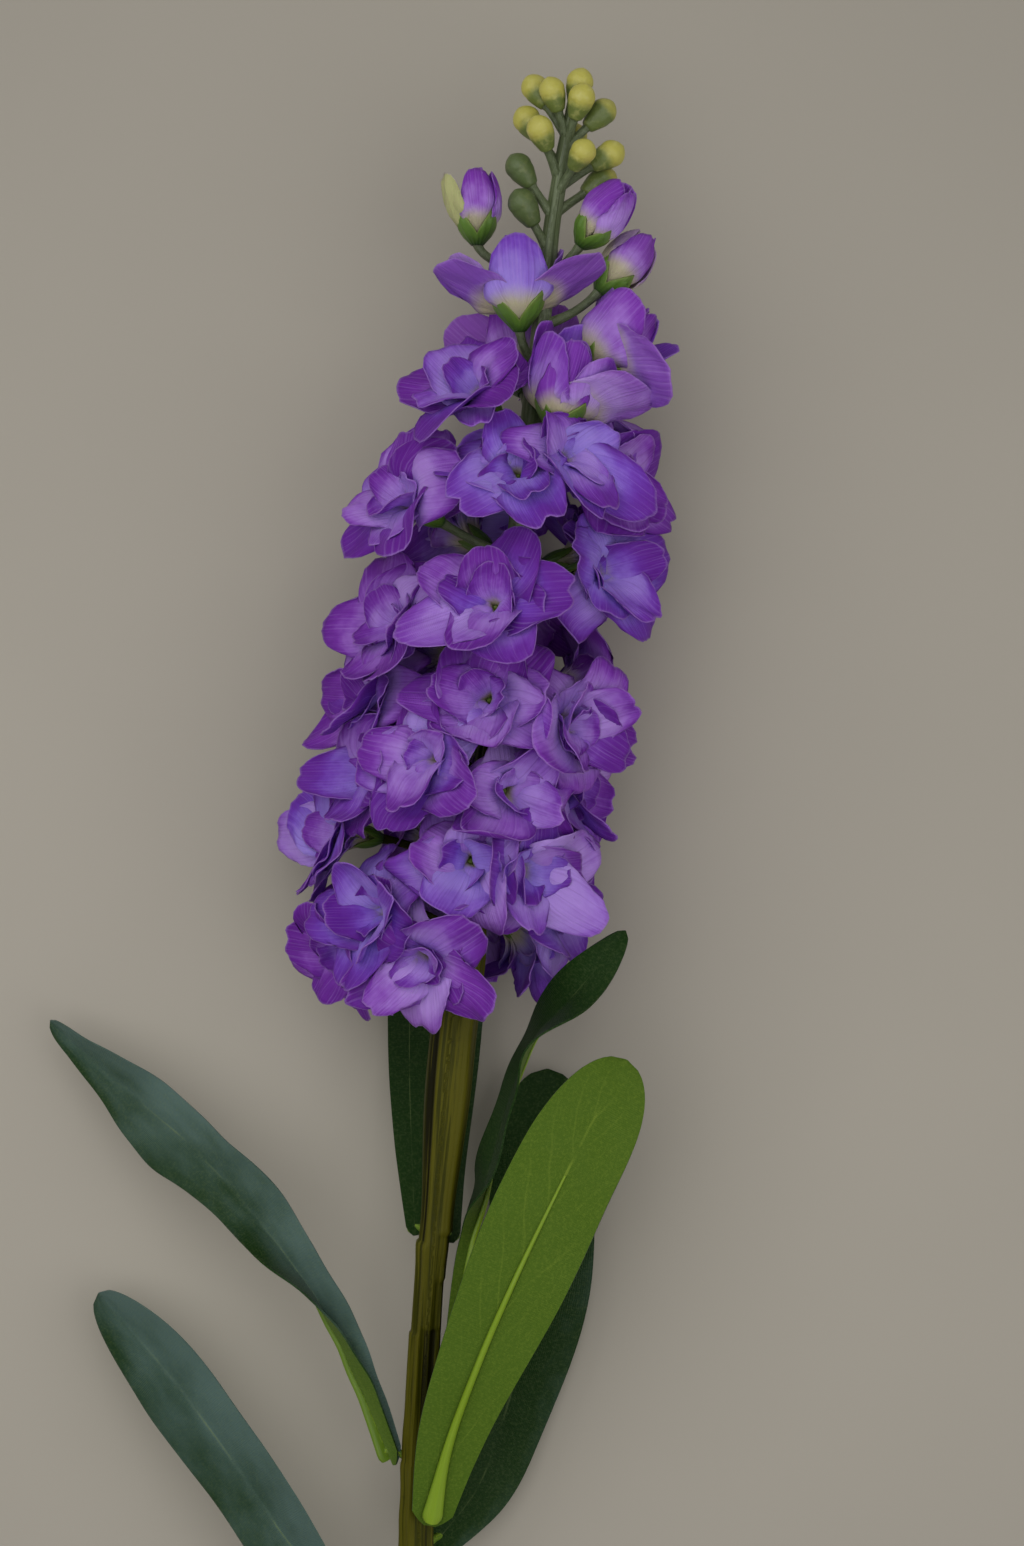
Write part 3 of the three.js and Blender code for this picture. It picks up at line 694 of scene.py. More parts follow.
def petal_points(petal, u, v, dice):
    """The petal's surface in its floret's own coordinates and its flat cut, at u and v from 0 to 1."""
    press = petal.press
    s = 2 * u - 1
    reach = v * (1 - 0.4 * (1 - np.sqrt(1 - 0.95 * s * s)) - press["notch"] * np.exp(-((s / 0.22) ** 2)))
    half = petal.width / 2 * (0.24 + 0.76 * smooth(v, 0.02, 0.58)) * (1 - 0.24 * smooth(v, 0.6, 1.12))
    # The frayed outline.
    rim = np.maximum(smooth(np.abs(s), 0.9, 1.0) * smooth(v, 0.3, 0.5), smooth(v, 0.93, 1.0))
    fray = dice.uniform(-1, 1, len(u)) * rim
    reach = reach + 0.012 * fray
    half = half * (1 + 0.03 * dice.uniform(-1, 1, len(u)) * rim)
    # The curl from the claw to the tip.
    t = np.linspace(0, 1.1, 80)
    angle = petal.start + (petal.end - petal.start) * smooth(t, *press["flare"])
    angle = angle + press["roll"] * smooth(t, 0.6, 1.1)
    step = petal.length * (t[1] - t[0])
    r = petal.base[0] + np.concatenate([[0], np.cumsum(np.sin(angle[:-1]) * step)])
    h = petal.base[1] + np.concatenate([[0], np.cumsum(np.cos(angle[:-1]) * step)])
    tilt = np.interp(reach, t, angle)
    r, h = np.interp(reach, t, r), np.interp(reach, t, h)
    # Cupped across, more tightly at the claw.
    curve = press["claw"] + (press["cup"] - press["claw"]) * smooth(v, 0.05, 0.5)
    curve = np.where(np.abs(curve) < 1e-4, 1e-4, curve)
    arc = s * half
    bowed = np.sin(arc * curve) / curve
    lift = (1 - np.cos(arc * curve)) / curve
    # Ruffles round the rim, a lean to one side, and soft creases.
    rimward = np.maximum(np.abs(s), smooth(v, 0.35, 1.0)) ** 2
    around = np.arctan2(s, 1.35 * v - 0.55)
    ruffle, waves = press["ruffle"], press["waves"]
    lift = lift + ruffle * rimward * smooth(v, 0.15, 0.5) * np.sin(waves * around + dice.uniform(*ANY_TURN))
    lift = lift + 0.35 * ruffle * rimward * np.sin(2.3 * waves * around + dice.uniform(*ANY_TURN))
    lift = lift + press["lean"] * s * smooth(v, 0.1, 0.45)
    lift = lift + press["crease"] * (np.sqrt(s * s + 0.02) - 0.5) * smooth(v, 0.15, 0.5)
    a, b, c, d = dice.uniform(*ANY_TURN, 4)
    dents = np.sin(5 * s + 4 * v + a) * np.sin(7 * v + b) + 0.6 * np.sin(11 * v - 6 * s + c)
    lift = lift + 0.35 * smooth(v, 0.1, 0.4) * dents
    lift = lift + 0.14 * np.cos(9 * s + d) * smooth(v, 0.2, 0.6)
    r = r - np.cos(tilt) * lift
    h = h + np.sin(tilt) * lift
    cos, sin = math.cos(petal.turn), math.sin(petal.turn)
    cut = np.stack([arc, reach * petal.length, np.zeros_like(arc)], axis=1)
    return (r * cos - bowed * sin, r * sin + bowed * cos, h), cut


def closest(a, b):
    """The nearest points of two florets' own axes."""
    def on(point, floret):
        run = floret.throat - floret.foot
        return floret.foot + run * np.clip((point - floret.foot) @ run / (run @ run), 0, 1)

    mine, theirs = a.throat, b.throat
    for _ in range(24):
        theirs = on(mine, b)
        mine = on(theirs, a)
    return mine, theirs


def neighbours(floret):
    """Each near floret as the middle point between the two, the way to it, and whether it lies below."""
    found = []
    for other in PLACED:
        if other is floret:
            continue
        mine, theirs = closest(floret, other)
        away = theirs - mine
        gap = np.linalg.norm(away)
        if gap < NEAR:
            above = floret.throat[1] + 0.5 * floret.throat[2] > other.throat[1] + 0.5 * other.throat[2]
            found.append((mine + away / 2, away / gap, above))
    return found


def crowd(floret, points):
    """Presses petals against their neighbours, with one floret's rim over the other's, and off the table."""
    lift = np.zeros(len(points))
    slide = np.zeros_like(points)
    for middle, away, above in neighbours(floret):
        d = (points - middle) @ away
        lift += smooth(d, -OVERLAP * 1.3, OVERLAP * 0.6) * (OVER if above else UNDER)
        over = np.maximum(d, 0)
        slide -= away * (over - OVERLAP * (1 - np.exp(-over / OVERLAP)))[:, None]
    points = points + slide
    # Stay clear of the stem.
    axis, along, _, _ = axis_at(points[:, 1])
    out = points - axis
    out -= along * np.sum(out * along, 1)[:, None]
    far = np.linalg.norm(out, axis=1)
    out = out / np.maximum(far, 1e-6)[:, None]
    lift = np.clip(lift, -4.5, 5) * smooth(far, 6, 16)
    points = points + out * lift[:, None]
    far = far + lift
    eased_out = STEM_GAP - STEM_GIVE * (1 - np.exp(-(STEM_GAP - far) / STEM_GIVE)) - far
    points = points + out * np.where(far < STEM_GAP, eased_out, 0)[:, None].clip(0, None)
    low = np.where(points[:, 1] < spike_y(BED_SHARE), BED_HEIGHT + 0.5, FLOOR + TABLE_GAP)
    z = points[:, 2]
    landed = low + TABLE_GIVE * np.exp(np.minimum(z - low - TABLE_GIVE, 0) / TABLE_GIVE)
    points[:, 2] = np.where(z < low + TABLE_GIVE, landed, z)
    return points


def petal_row(count):
    """A row of that many flat petals. Every floret's petals are a copy of one, pressed into shape."""
    name = f"petal_row_{count}"
    return bpy.data.objects.get(name) or modify(grid(name, *PETAL_GRID), "ARRAY", count=count)


def petals(floret, petal_list, name, settings, seed, crowded=True):
    """One floret's petals as a single piece of pressed fabric, and their cut size."""
    row = petal_row(len(petal_list))
    flat = coordinates(row)[: len(row.data.vertices) // len(petal_list)]
    u, v = flat[:, 0] + 0.5, flat[:, 1] + 0.5
    dice = np.random.default_rng(seed)
    points, tones, pales, cuts = [], [], [], []
    hue = dice.uniform(0.1, 0.9)
    for petal in petal_list:
        pressed, cut = petal_points(petal, u, v, dice)
        points.append(floret.place(*pressed))
        cuts.append(cut_size(cut.reshape(PETAL_GRID[1] + 1, -1, 3) * MM))
        tones.append(np.full(len(u), np.clip(hue + dice.uniform(-0.35, 0.35), 0, 1)))
        pales.append(np.full(len(u), petal.press["pale"]))
    points = np.concatenate(points)
    if crowded:
        points = crowd(floret, points)
    piece = row.copy()
    piece.data = row.data.copy()
    piece.name = piece.data.name = name
    bpy.context.scene.collection.objects.link(piece)
    piece.data.vertices.foreach_set("co", ((points + SHIFT) * MM).ravel())
    piece.data.update()
    store(piece, "tone", np.concatenate(tones))
    store(piece, "pale", np.concatenate(pales))
    cuts = np.array(cuts)
    cut = (float(cuts[:, 0].sum()), float(cuts[:, 1].max())), float(cuts[:, 2].sum())
    return modify(piece, "SOLIDIFY", thickness=settings.fabric, offset=0), cut


# An open floret's rounds: petals, turn to the next round, and the spread of each petal's turn, then its
# foot's angle and place, and ranges of length, width, tip's angle, ruffle, cup, lean, roll and crease.
ROUNDS = [
    (5, 36, 12, 14, (1.3, 4.0), (0.9, 1.08), (0.98, 1.2), (70, 122), (0.3, 1.0), (-0.05, 0.06),
     (-1.0, 3.4), (-0.6, 1.0), (-1.6, 1.6)),
    (4, 20, 20, 8, (1.0, 5.0), (0.72, 0.92), (0.8, 1.04), (44, 96), (0.4, 1.1), (-0.03, 0.1),
     (-1.0, 2.8), (-0.9, 0.6), (-1.2, 1.6)),
    (3, 0, 35, 4, (0.8, 7), (0.4, 0.6), (0.5, 0.8), (26, 84), (0.3, 0.8), (0.02, 0.16),
     (-1, 2.4), None, (-0.6, 1.2)),
]


def open_petals(settings, dice):
    """A full round of petals, a second looser round and a small ruffled heart."""
    size = settings.petal_length / MM
    wide = settings.petal_width / MM
    turn = dice.uniform(0, 360)
    rows = []
    for count, skip, spread, start, base, sizes, widths, ends, ruffles, cups, leans, rolls, creases in ROUNDS:
        for i in range(count):
            rows.append(Petal(
                turn + i * 360 / count + dice.uniform(-spread, spread), size * dice.uniform(*sizes),
                wide * dice.uniform(*widths), start, dice.uniform(*ends), base, ruffle=dice.uniform(*ruffles),
                waves=int(dice.integers(2, 5)), cup=dice.uniform(*cups), lean=dice.uniform(*leans),
                roll=dice.uniform(*rolls) if rolls else 0.0, crease=dice.uniform(*creases),
                notch=dice.choice([0.0, 0.0, 0.09]) if count == 5 else 0.05))
        turn += skip
    return rows


# Half-open florets: each petal's turn from the front, closing angle, length, width and lean.
CUPS = {
    35: [(0, -12, 1.0, 0.8, 0.6), (-62, -4, 1.0, 1.0, 2.5), (64, 8, 0.92, 0.9, -2), (84, 60, 0.98, 1.0, -7),
         (180, -6, 1.12, 1.1, 0.7), (-125, 6, 1.1, 1, 0.7)],
    36: [(48, 66, 1.02, 1.12, -6), (-30, 10, 1.0, 1.15, 1.5), (-100, 22, 0.9, 1.0, 4), (140, 20, 1.0, 1.0, -3),
         (200, 4, 0.95, 1.0, 0.7)],
    37: [(0, -8, 1.0, 1.08, 0.4), (-74, 56, 0.98, 0.8, 4.4), (78, 60, 1.02, 0.76, -4.4), (-105, 44, 0.92, 0.9, 5),
         (120, 26, 0.86, 0.8, -3), (180, 0, 0.95, 1.0, 0.7)],
    38: [(0, 10, 1.0, 1.0, 1), (-72, 40, 1.0, 1.0, 5), (72, 30, 0.95, 1.0, -5), (144, 50, 1.0, 1.0, -3),
         (-144, 30, 1.0, 1.0, 3)],
}


def cup_petals(floret, settings, dice):
    """A half-open floret: broad petals round a shut heart, some of them spreading."""
    size = settings.petal_length / MM * 0.94
    wide = settings.petal_width / MM
    rows = []
    for turn, end, grown, broad, lean in CUPS[floret.number]:
        rows.append(Petal(
            turn + dice.uniform(-4, 4), size * grown, wide * broad, 56 if end < 30 else 40, end, base=(1.5, 1.6),
            ruffle=0.25, waves=3, cup=0.075 if end < 30 else 0.05, claw=0.2, lean=lean,
            flare=(0.02, 0.6), roll=-0.12, notch=0.0, pale=0.65 if end > 20 else 0.5))
    for turn in (30, 150, 270):
        rows.append(Petal(
            turn, size * 0.9, wide * 0.72, 36, -14, base=(0.9, 2.4), ruffle=0.25, waves=3, cup=0.13,
            claw=0.22, lean=0.9, flare=(0.1, 0.6), roll=-0.2, notch=0.0))
    return rows


# Closed florets: the same, with how pale each petal is.
CLOSED = {
    39: [(20, -34, 1.0, 0.8, 0.6), (-100, -30, 0.98, 0.8, 0.95), (140, -32, 0.94, 0.8, 0.9)],
    40: [(10, -32, 1.0, 0.72, 0.4), (90, -24, 0.94, 0.62, 0.1), (-62, 2, 0.92, 0.5, 1.3), (180, -32, 0.9, 0.7, 0.4)],
    41: [(-40, -30, 1.0, 0.82, 0.3), (60, -32, 0.97, 0.8, 0.2), (170, -28, 1.02, 0.8, 0.3)],
}


def closed_petals(floret, settings, dice):
    """A floret still shut: broad petals wrapped round each other."""
    size = settings.petal_length / MM * 0.72
    wide = settings.petal_width / MM
    rows = []
    for i, (turn, end, grown, broad, pale) in enumerate(CLOSED[floret.number]):
        rows.append(Petal(
            turn, size * grown, wide * broad, 44, end, base=(1.5 + 0.25 * i, 1.6), ruffle=0.1, waves=3,
            cup=0.17, claw=0.24, lean=0.7, flare=(0.02, 0.9), notch=0.0, pale=pale))
    rows.append(Petal(
        80, size * 0.95, wide * 0.5, 30, -22, base=(0.8, 2.0), ruffle=0.1, waves=3, cup=0.2, claw=0.24,
        lean=0.4, flare=(0.1, 0.8), notch=0.0, pale=0.2))
    return rows


# ---- Calyces, buds and pegs ----


CALYX_WIDTHS = {
    "open": [1.2, 2.2, 2.8, 3.1, 3.5],
    "cup": [1.3, 3.4, 5.6, 7.0, 8.2],
    "closed": [1.3, 3.3, 4.7, 5.3, 5.3],
}


def calyx(floret, settings):
    """A moulded green cup with four narrow, pointed sepals."""
    tall = settings.calyx_length / MM * (1.15 if floret.kind == "cup" else 1.0)
    widths = CALYX_WIDTHS[floret.kind]

    def place(u, v):
        turn = math.tau * u
        sepal = 1 - np.abs(2 * ((u * 4 + 0.5) % 1) - 1)
        height = tall * (v * 0.32 + 0.8 * sepal * smooth(v, 0.2, 1.1))
        r = np.interp(height / tall, [0, 0.25, 0.5, 0.75, 1.0], widths)
        r = r * (1 + 0.05 * sepal + 0.015 * np.cos(16 * turn)) + 0.35
        turn = turn + math.pi / 4
        return floret.place(r * np.cos(turn), r * np.sin(turn), height - 0.4)

    def eye(u, v):
        r = 1.25 * np.sqrt(np.maximum(1 - v**3, 0)) * (1 + 0.16 * np.cos(10 * math.pi * u) * v)
        return floret.place(r * np.cos(math.tau * u), r * np.sin(math.tau * u), 2 + 7.4 * v)

    piece = close_tube(bend(wrapped(f"calyx_{floret.number:02d}", 40, 14), place), ends=False)
    modify(piece, "SOLIDIFY", thickness=0.0005, offset=-1)
    if floret.kind != "open":
        return piece
    tip = grid("eye", 20, 8)
    store(tip, "round", coordinates(tip)[:, 0] + 0.5)
    store(tip, "along", np.full(len(coordinates(tip)), 1.0))
    return join([piece, close_tube(bend(tip, eye))], piece.name)


def arm(name, root, end, facing, thick, thin, swell=0.0):
    """A curved stalk that leaves the stem upwards and ends square to what it carries."""
    run = end - root
    elbow = end - facing * max(2.0, facing @ run * 0.55)

    def path(v):
        w = v[:, None]
        return root * (1 - w) ** 2 + elbow * 2 * w * (1 - w) + end * w**2

    def radius(v):
        return thick + (thin - thick) * smooth(v, 0, 0.6) + swell * smooth(v, 0.75, 1.0)

    return tube(name, path, radius)


# ---- Settings ----


def length(name, description, default):
    return FloatProperty(name=name, description=description, default=default, min=0.0, unit="LENGTH")


def tint(name, description, *colour):
    return FloatVectorProperty(name=name, description=description, default=paint(*colour), subtype="COLOR",
                               min=0, max=1)


class StockPetalSettings(bpy.types.PropertyGroup):
    """Sizes and colours of the florets."""

    petal_length: length("Petal Length", "From the foot of a full petal to its tip", 0.0285)
    petal_width: length("Petal Width", "Across a full petal at its widest", 0.0185)
    fabric: length("Fabric", "Thickness of the pressed petal fabric", 0.00028)
    calyx_length: length("Calyx Length", "From a calyx's foot to the notches of its sepals", 0.0085)
    seed: IntProperty(name="Seed", description="Which set of ruffles is drawn", default=4, min=0)
    # Light and Light Cool are painted highlights towards the foot of each petal's blade, and Deep is painted shade
    # towards its edge; both also colour the pressed veins.
    light: tint("Light", "Lilac of the petal's middle", 188, 148, 236)
    light_cool: tint("Light Cool", "Lilac of the bluer petals", 164, 140, 236)
    warm: tint("Warm", "Purple of the redder petals", 138, 62, 190)
    cool: tint("Cool", "Purple of the bluer petals", 122, 68, 200)
    pale: tint("Pale", "Petals that stay pale", 206, 196, 178)
    deep: tint("Deep", "Deep purple near the edge", 100, 22, 146)
    pale_green: tint("Pale Green", "The one outer petal that stays green", 184, 190, 112)
    throat: tint("Throat", "Cream of the petal's foot", 196, 190, 140)
    rim: tint("Rim", "Pale frayed edge", 190, 158, 226)


class StockGreenSettings(bpy.types.PropertyGroup):
    """Colours of the stem, the leaves and the buds."""

    leaf: tint("Leaf", "Upper side of the leaves", 18, 50, 2)
    # The leaf sheen colour is a painted bluish sheen of light on the upper side.
    leaf_painted_sheen: tint("Leaf Sheen", "Bluish bloom on the upper side", 86, 110, 104)
    leaf_vein: tint("Leaf Vein", "Midrib and threads of the upper side", 120, 136, 84)
    under: tint("Underside", "Underside of the leaves", 76, 104, 22)
    # The underside's pale colour is a painted sheen of light, in mottles stronger on one half of the blade; the
    # underside's threads take the rib's pale colour.
    under_painted_sheen: tint("Underside Pale", "Lighter threads of the underside", 96, 124, 42)
    rib: tint("Rib", "Leaf ribs", 128, 158, 20)
    rib_dark: tint("Rib Dark", "Flanks of the leaf ribs", 98, 128, 26)
    rib_pale: tint("Rib Pale", "Rubbed crest of the leaf ribs", 158, 178, 66)
    stem: tint("Stem", "Stem", 55, 56, 3)
    # The stem's dark colour is painted shade in the grooves and also the colour of its dark flecks; its pale colour
    # is painted highlight on the ridges.
    stem_fleck_and_groove_shade: tint("Stem Dark", "Grooves of the stem", 24, 23, 1)
    stem_painted_highlight: tint("Stem Pale", "Worn ridges of the stem", 98, 94, 20)
    sprig: tint("Sprig", "Upper stalk", 112, 124, 88)
    sprig_dark: tint("Sprig Dark", "Shaded streaks of the upper stalk", 72, 84, 52)
    # The sprig's pale colour is a painted silvery sheen.
    sprig_painted_sheen: tint("Sprig Pale", "Bloom on the upper stalk", 150, 160, 134)
    bud_cup: tint("Bud Cup", "Foot of the buds", 110, 124, 60)
    bud_tip: tint("Bud Tip", "Tip of the buds", 190, 184, 86)
    bud_pale: tint("Bud Pale", "Lighter marks on the buds", 208, 204, 126)
    bud_unripe: tint("Bud Unripe", "The lowest, unripe buds", 78, 96, 58)
    calyx: tint("Calyx", "Calyx of each floret", 92, 128, 44)
    calyx_dark: tint("Calyx Dark", "Foot of each calyx", 48, 80, 26)
    calyx_tip: tint("Calyx Tip", "Tips of the sepals", 128, 142, 64)


class StockStageSettings(bpy.types.PropertyGroup):
    """The table, the lights and the camera."""

    table: tint("Table", "Table under the stem", 178, 172, 160)
    camera_height: length("Camera Height", "Camera above the middle of the spike", 1.13)
    key: FloatProperty(name="Key Light", description="Power of the main light", default=10.5, min=0, unit="POWER")
    fill: FloatProperty(name="Fill Light", description="Power of the fill light", default=4.5, min=0, unit="POWER")


# ---- Operators ----

SPIKE_MIDDLE = np.array([24.2, 318.4, 35.0])
TABLE_SIZE = 30
TABLE_DROP = 0.0003
# How far the wire stands out of the plastic at the cut end, and where leaf clips swell the stem.
WIRE_PROUD = 0.35
KNOTS = (0.248, 0.41, 0.446, 0.5, 0.528, 0.725)


class STOCK_OT_stage(bpy.types.Operator):
    """Lay the table and set the lights and the camera"""

    bl_idname = "stock.stage"
    bl_label = "Stage"

    def execute(self, context):
        settings = context.scene.stock_stage
        deselect()
        bpy.ops.mesh.primitive_plane_add(size=TABLE_SIZE, location=(0, 0, -TABLE_DROP))
        table = bpy.context.object
        table.name = "table"
        bpy.ops.object.transform_apply(location=True, rotation=True, scale=True)
        table.data.materials.append(floor_finish(settings))
        middle = (SPIKE_MIDDLE + SHIFT) * MM
        camera = bpy.data.objects.new("camera", bpy.data.cameras.new("camera"))
        context.scene.collection.objects.link(camera)
        camera.data.lens = 100
        camera.data.sensor_width = 36
        camera.location = middle + np.array([0, 0, settings.camera_height])
        context.scene.camera = camera
        for name, spot, size, power in (
            ("key", (-0.7, 0.5, 1.2), 2.0, settings.key),
            ("fill", (0.95, -0.35, 1.15), 1.2, settings.fill),
            ("top", (0.0, 0.1, 1.6), 1.6, settings.fill),
        ):
            light = bpy.data.objects.new(name, bpy.data.lights.new(name, "AREA"))
            light.data.size = size
            light.data.energy = power
            light.location = Vector(middle) + Vector(spot)
            light.rotation_euler = (Vector(middle) - light.location).to_track_quat("-Z", "Y").to_euler()
            context.scene.collection.objects.link(light)
        world = bpy.data.worlds.new("studio")
        world.use_nodes = True
        sky = world.node_tree.nodes["Background"].inputs
        sky["Color"].default_value = (1.0, 0.98, 0.97, 1)
        sky["Strength"].default_value = 0.27
        context.scene.world = world
        context.scene.view_settings.view_transform = "Standard"
        return {"FINISHED"}


def flutes(turn, v):
    """The stem's relief, as a factor of its half width."""
    y = v * SOCKET_Y
    lobes = 0.075 * np.cos(5 * turn + 0.9 + 0.004 * y) + 0.06 * np.cos(9 * turn - 1.1 - 0.003 * y)
    wave = np.cos(4 * turn + 0.4)
    strips = 0.05 * smooth(y, 190, 236) * np.sign(wave) * np.abs(wave) ** 0.4
    # Where the moulding's outer layers end.
    right, left = (smooth(np.cos(turn - side), 0.3, 0.5) for side in (1.5, -1.5))
    layers = right * (0.1 * smooth(y, 183.6, 184.4) + 0.24 * smooth(y, 196, 196.8))
    layers = layers + left * smooth(y, 40, 90) * (
        0.2 * smooth(y, 194.2, 193.4) + 0.14 * smooth(y, 169.6, 168.8) + 0.1 * smooth(y, 134.4, 133.6))
    layers = layers + 0.12 * smooth(y, 170.4, 171.2) * smooth(np.cos(turn - 0.2), 0.75, 0.85)
    knots = sum(0.09 * np.exp(-(((y - s * STEM_LENGTH) / 5) ** 2)) for s in KNOTS)
    return 1 + lobes + strips + layers + knots + 0.02 * np.sin(y * 0.11 + 2 * turn)


class STOCK_OT_stem(bpy.types.Operator):
    """Mould the grooved stem with its pegs, and the wire inside it"""

    bl_idname = "stock.stem"
    bl_label = "Stem"

    def execute(self, context):
        settings = context.scene.stock_green
        body = tube("main_stem_body", lambda v: axis_at(WIRE_PROUD + v * (SOCKET_Y - WIRE_PROUD))[0],
                    lambda v: stem_radius(v * SOCKET_Y) * 0.97, 56, 420, flutes)
        # The relief is kept for the material, which paints shade into the grooves.
        groove = flutes(math.tau * attribute(body, "round"), attribute(body, "along"))
        store(body, "groove", (groove - 0.88) / 0.24)
        parts = [body]
        for floret in PLACED:
            if floret.root[1] < SOCKET_Y:
                end = floret.foot + floret.facing * 0.6
                peg = arm("peg", floret.root, end, floret.facing, 1.5, 1.1, 0.3)
                store(peg, "groove", np.full(len(peg.data.vertices), 0.55))
                parts.append(peg)
        finished(join(parts, "stem_moulding"), stem_finish(settings), "stem", "main_stem")
        wire = frame["nodes"]["core_wire"]
        wire.data.materials.clear()
        wire.data.materials.append(wire_finish())
        return {"FINISHED"}


class STOCK_OT_sprig(bpy.types.Operator):
    """Mould the upper stalk and its pegs"""

    bl_idname = "stock.sprig"
    bl_label = "Sprig"

    def execute(self, context):
        settings = context.scene.stock_green
        low, high = SOCKET_Y + 0.3, spike_y(1)

        def ribs(turn, v):
            return 1 + 0.07 * np.cos(4 * turn + 0.7) + 0.04 * np.cos(7 * turn + 5 * v) + 0.05 * np.sin(38 * v + turn)

        def radius(v):
            return 1.12 * (SPRIG_RADIUS + (SPRIG_TIP_RADIUS - SPRIG_RADIUS) * v)

        parts = [tube("sprig_body", lambda v: axis_at(low + (high - low) * v)[0], radius, 28, 110, ribs)]
        for floret in PLACED:
            if floret.root[1] >= SOCKET_Y:
                end = floret.foot + floret.facing * 0.6
                parts.append(arm("peg", floret.root, end, floret.facing, 1.5, 1.15, 0.35))
        for share, turn, reach in BUDS:
            middle, facing, root = bud_seat(share, turn, reach)
            parts.append(arm("stalk", root, middle - facing * (BUD_LENGTH * 0.42), facing, 1.5, 1.15, 1.1))
        finished(join(parts, "sprig_moulding"), sprig_finish(settings), "sprig", "flower_sprig")
        return {"FINISHED"}


def bud_seat(share, turn, reach):
    """A bud's middle, the way it points, and where its stalk leaves the sprig."""
    point, _, out = outward(spike_y(share), turn)
    middle = point + out * reach
    root = axis_at(spike_y(share) - STALK_RISE)[0][0]
    return middle, unit(middle - root), root


BUD_RADIUS = 3.5
BUD_STATIONS = [0, 0.02, 0.2, 0.36, 0.48, 0.53, 0.6, 0.72, 0.86, 0.95, 1]
BUD_OUTLINE = [0.05, 0.5, 0.72, 0.9, 1.0, 0.96, 1.03, 1.0, 0.76, 0.44, 0.02]
# How green some of the buds still are.
UNRIPE = {1: 1.0, 2: 1.0, 3: 0.35, 9: 0.35}


def bud(number, row, dice):
    """A lobed bud. The two lowest are a little larger."""
    middle, facing, _ = bud_seat(*row)
    first = unit(np.cross(facing, (0.3, 0.1, 1.0)))
    second = np.cross(facing, first)
    spin = dice.uniform(*ANY_TURN)
    grown = dice.uniform(0.92, 1.06) * (1.08 if number <= 2 else 1.0)

    def place(u, v):
        turn = math.tau * u
        height = BUD_LENGTH * grown * (v * 1.22 - 0.72)
        lobes = 1 + 0.05 * np.abs(np.cos(2 * turn + spin)) * smooth(v, 0.5, 0.8)
        lobes = lobes - 0.03 * np.cos(4 * turn) * smooth(v, 0.55, 0.1)
        r = BUD_RADIUS * grown * np.interp(v, BUD_STATIONS, BUD_OUTLINE) * lobes
        return (middle + height[:, None] * facing + (r * np.cos(turn))[:, None] * first
                + (r * np.sin(turn))[:, None] * second)

    piece = grid(f"bud_{number:02d}", 24, 20)
    co = coordinates(piece)
    store(piece, "along", co[:, 1] + 0.5)
    store(piece, "tone", np.full(len(co), UNRIPE.get(number, 0.0)))
    return modify(close_tube(bend(piece, place)), "SUBSURF", levels=1, render_levels=1)


class STOCK_OT_buds(bpy.types.Operator):
    """Mould the buds at the tip"""

    bl_idname = "stock.buds"
    bl_label = "Buds"

    def execute(self, context):
        dice = np.random.default_rng(11)
        finish = bud_finish(context.scene.stock_green)
        for i, row in enumerate(BUDS):
            finished(bud(i + 1, row, dice), finish, "sprig")
        return {"FINISHED"}


BLADE_GRID = (28, 110)
CLOTH = 0.0005
RIB_START = 0.012
# How much some blades narrow towards the tip.
NARROWED = {"left_high": 0.5, "right_twisted": 0.45}


def leaf_blade(name, surface):
    """A blade of folded and waved cloth, and its cut size."""
    piece = bend(grid(f"blade_{name}", *BLADE_GRID), lambda u, v: surface(2 * u - 1, v)[0])
    # How much painted sheen of light each blade's material mixes in.
    store(piece, "bloom", np.full(len(piece.data.vertices), LEAVES[name][-1]))
    return piece, cut_size(flat_cut(surface, BLADE_GRID[0] + 1, BLADE_GRID[1] + 1) * MM)


def leaf_rib(name, surface):
    """A leaf's moulded rib, with the peg that holds its foot to the stem."""

    def bar(u, v):
        point, normal, side, _, _ = surface(np.zeros_like(v), RIB_START + v * (RIB_SHARE - RIB_START))
        turn = math.tau * u
        wide, deep = rib_size(v)
        wide = wide * (1 + 0.05 * np.sin(9 * v + 2))
        crest = 1 + 0.25 * np.cos(turn) ** 8 * (np.cos(turn) < 0)
        drop = 0.22 + deep + deep * np.cos(turn + math.pi) * crest
        return point + side * (wide * np.sin(turn))[:, None] - normal * drop[:, None]

    rib = wrapped(f"rib_bar_{name}", 24, 90)
    end, normal, *_ = surface(np.zeros(1), np.array([0.03]))
    root, _, out = outward(LEAVES[name][0] * STEM_LENGTH, LEAVES[name][1])
    peg = arm("clip", root + out * 1.2, end[0] - normal[0] * 1.2, out, 1.3, 1.1, 0.3)
    return join([close_tube(bend(rib, bar)), peg], f"rib_bar_{name}")


